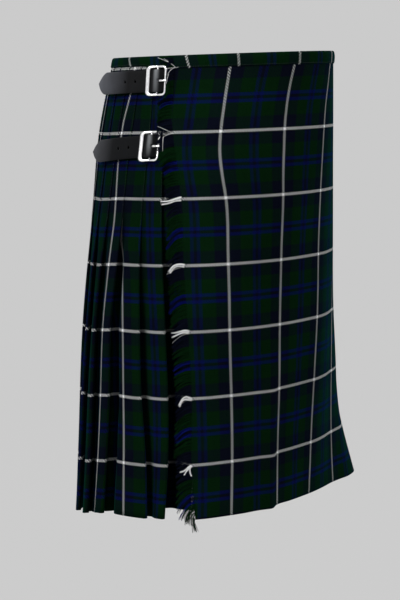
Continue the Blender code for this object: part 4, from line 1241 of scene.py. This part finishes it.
stitches = {
    "band": 0.0034, "fell": 0.0042, "length": 0.0017, "thread": 0.00035, "arch": 0.0003,
    "bandDrop": 0.014, "bandInset": 0.0019, "ends": 0.004, "fellFrom": 0.019, "fellShift": 0.0002,
    "fellTo": 0.222, "over": 0.0006, "behind": 0.0008, "slant": 0.0009,
}


# Sewing: short arched stitches, each a five-point tube lying on the cloth. A row holds the
# arc and drop of both ends and the stand.
def makeStitches():
    s = stitches
    lift = garment["seam"] + garment["cloth"] / 2 + 0.0004
    start = float(column(apronEdges, "right", s["bandDrop"])) + s["ends"]
    turn = float(column(firstFolds, "fold1", s["bandDrop"])) + girth(s["bandDrop"]) - s["ends"]
    at = np.arange(start, turn, s["band"])
    low = bandBottom(at) - s["bandInset"]
    rows = [np.stack([at, low, at + s["length"], low, np.full(len(at), lift)], axis=1)]
    for strip in range(1, pleats["count"] + 1):
        drops = np.arange(s["fellFrom"] + s["fellShift"] * strip, s["fellTo"], s["fell"])
        arcs = np.array([foldArcs(drop)[strip - 1] for drop in drops])
        rows.append(np.stack([arcs + s["over"], drops, arcs - s["behind"], drops + s["slant"],
                              np.full(len(drops), 0.0001)], axis=1))
    rows = np.concatenate(rows)[:, :, None]
    t = np.linspace(0.0, 1.0, 5)[None, :]
    arc = rows[:, 0] + (rows[:, 2] - rows[:, 0]) * t
    drop = rows[:, 1] + (rows[:, 3] - rows[:, 1]) * t
    stand = rows[:, 4] + s["arch"] * np.sin(math.pi * t) - 0.0001
    sizes = s["thread"] * np.ones((len(rows), 5))
    piece = tubePiece("sewing", onBody(drop, arc, stand), sizes, 4, filled=False)
    finish(piece, [], stitchMaterial)


makeStitches()
print("kilt: sewing made")

studio = {
    "floor": -1.06, "near": 4.0, "back": 3.2, "curve": 1.6, "width": 9.0, "tall": 4.5,
    "grey": 0.604, "paper": 0.016, "sky": 0.28, "gloss": 0.88, "lampsAim": (0.0, 0.0, -0.2),
}


# Floor that curves up into a wall behind the kilt, square to the camera. Its grey is nearly all
# its own light, so that the lamps leave no marks on it.
def makeStudio():
    s = studio
    aim = np.array(photoCamera["target"]) - np.array(photoCamera["place"])
    away = np.array([aim[0], aim[1], 0.0]) / math.hypot(aim[0], aim[1])
    side = np.array([away[1], -away[0], 0.0])
    turn = np.linspace(0.0, 0.5, 24) * math.pi
    along = np.concatenate([[-s["near"]], s["back"] + s["curve"] * np.sin(turn), [s["back"] + s["curve"]]])
    high = np.concatenate([[0.0], s["curve"] * (1.0 - np.cos(turn)), [s["tall"]]]) + s["floor"]
    wide = np.linspace(-1.0, 1.0, 3) * s["width"]
    points = (along[:, None, None] * away + high[:, None, None] * np.array([0.0, 0.0, 1.0])
              + wide[None, :, None] * side)
    piece = gridPiece("studioSweep", points)
    material, n, shader = newMaterial("studioPaper")
    n.fill(shader, Base_Color=(0.02, 0.02, 0.02, 1.0), Roughness=0.95, Specular_IOR_Level=0.0,
           Emission_Color=(1.0, 1.0, 1.0, 1.0), Emission_Strength=s["grey"] - s["paper"])
    piece.data.materials.append(material)
    piece.visible_diffuse = False
    piece.visible_glossy = False


lamps = {
    "leftLamp": {"azimuth": 52.0, "height": 1.4, "distance": 2.5, "size": 1.3, "power": 48.0},
    "rightLamp": {"azimuth": -50.0, "height": 1.5, "distance": 2.5, "size": 1.3, "power": 30.0},
    "rearLamp": {"azimuth": -150.0, "height": 0.9, "distance": 2.8, "size": 1.4, "power": 26.0},
    "topLamp": {"azimuth": 0.0, "height": 2.2, "distance": 0.4, "size": 1.6, "power": 12.0},
}


# Soft lamps round the kilt; azimuth is counted from the camera's own direction
def makeLamps():
    place = photoCamera["place"]
    facing = math.degrees(math.atan2(place[1], place[0]))
    for name, lamp in lamps.items():
        data = bpy.data.lights.new(name, "AREA")
        data.shape = "SQUARE"
        data.size = lamp["size"]
        data.energy = lamp["power"]
        turn = math.radians(facing - lamp["azimuth"])
        at = (lamp["distance"] * math.cos(turn), lamp["distance"] * math.sin(turn), lamp["height"])
        aimObject(name, data, at, studio["lampsAim"])
    world = bpy.data.worlds.new("studioSky")
    world.use_nodes = True
    n = nodeTable(world.node_tree)
    rays = n.add("LightPath").outputs
    soft = n.add("MapRange", Value=rays["Is Glossy Ray"], To_Min=studio["sky"], To_Max=studio["gloss"])
    level = n.add("Mix", {"data_type": "FLOAT"}, i0=rays["Is Camera Ray"], i2=soft.outputs[0],
                  i3=studio["grey"])
    n.fill(world.node_tree.nodes["Background"], Strength=level.outputs[0], Color=(1.0, 1.0, 1.0, 1.0))
    bpy.context.scene.world = world
    bpy.context.scene.view_settings.view_transform = "Standard"


makeStudio()
makeLamps()
print("kilt: studio made")
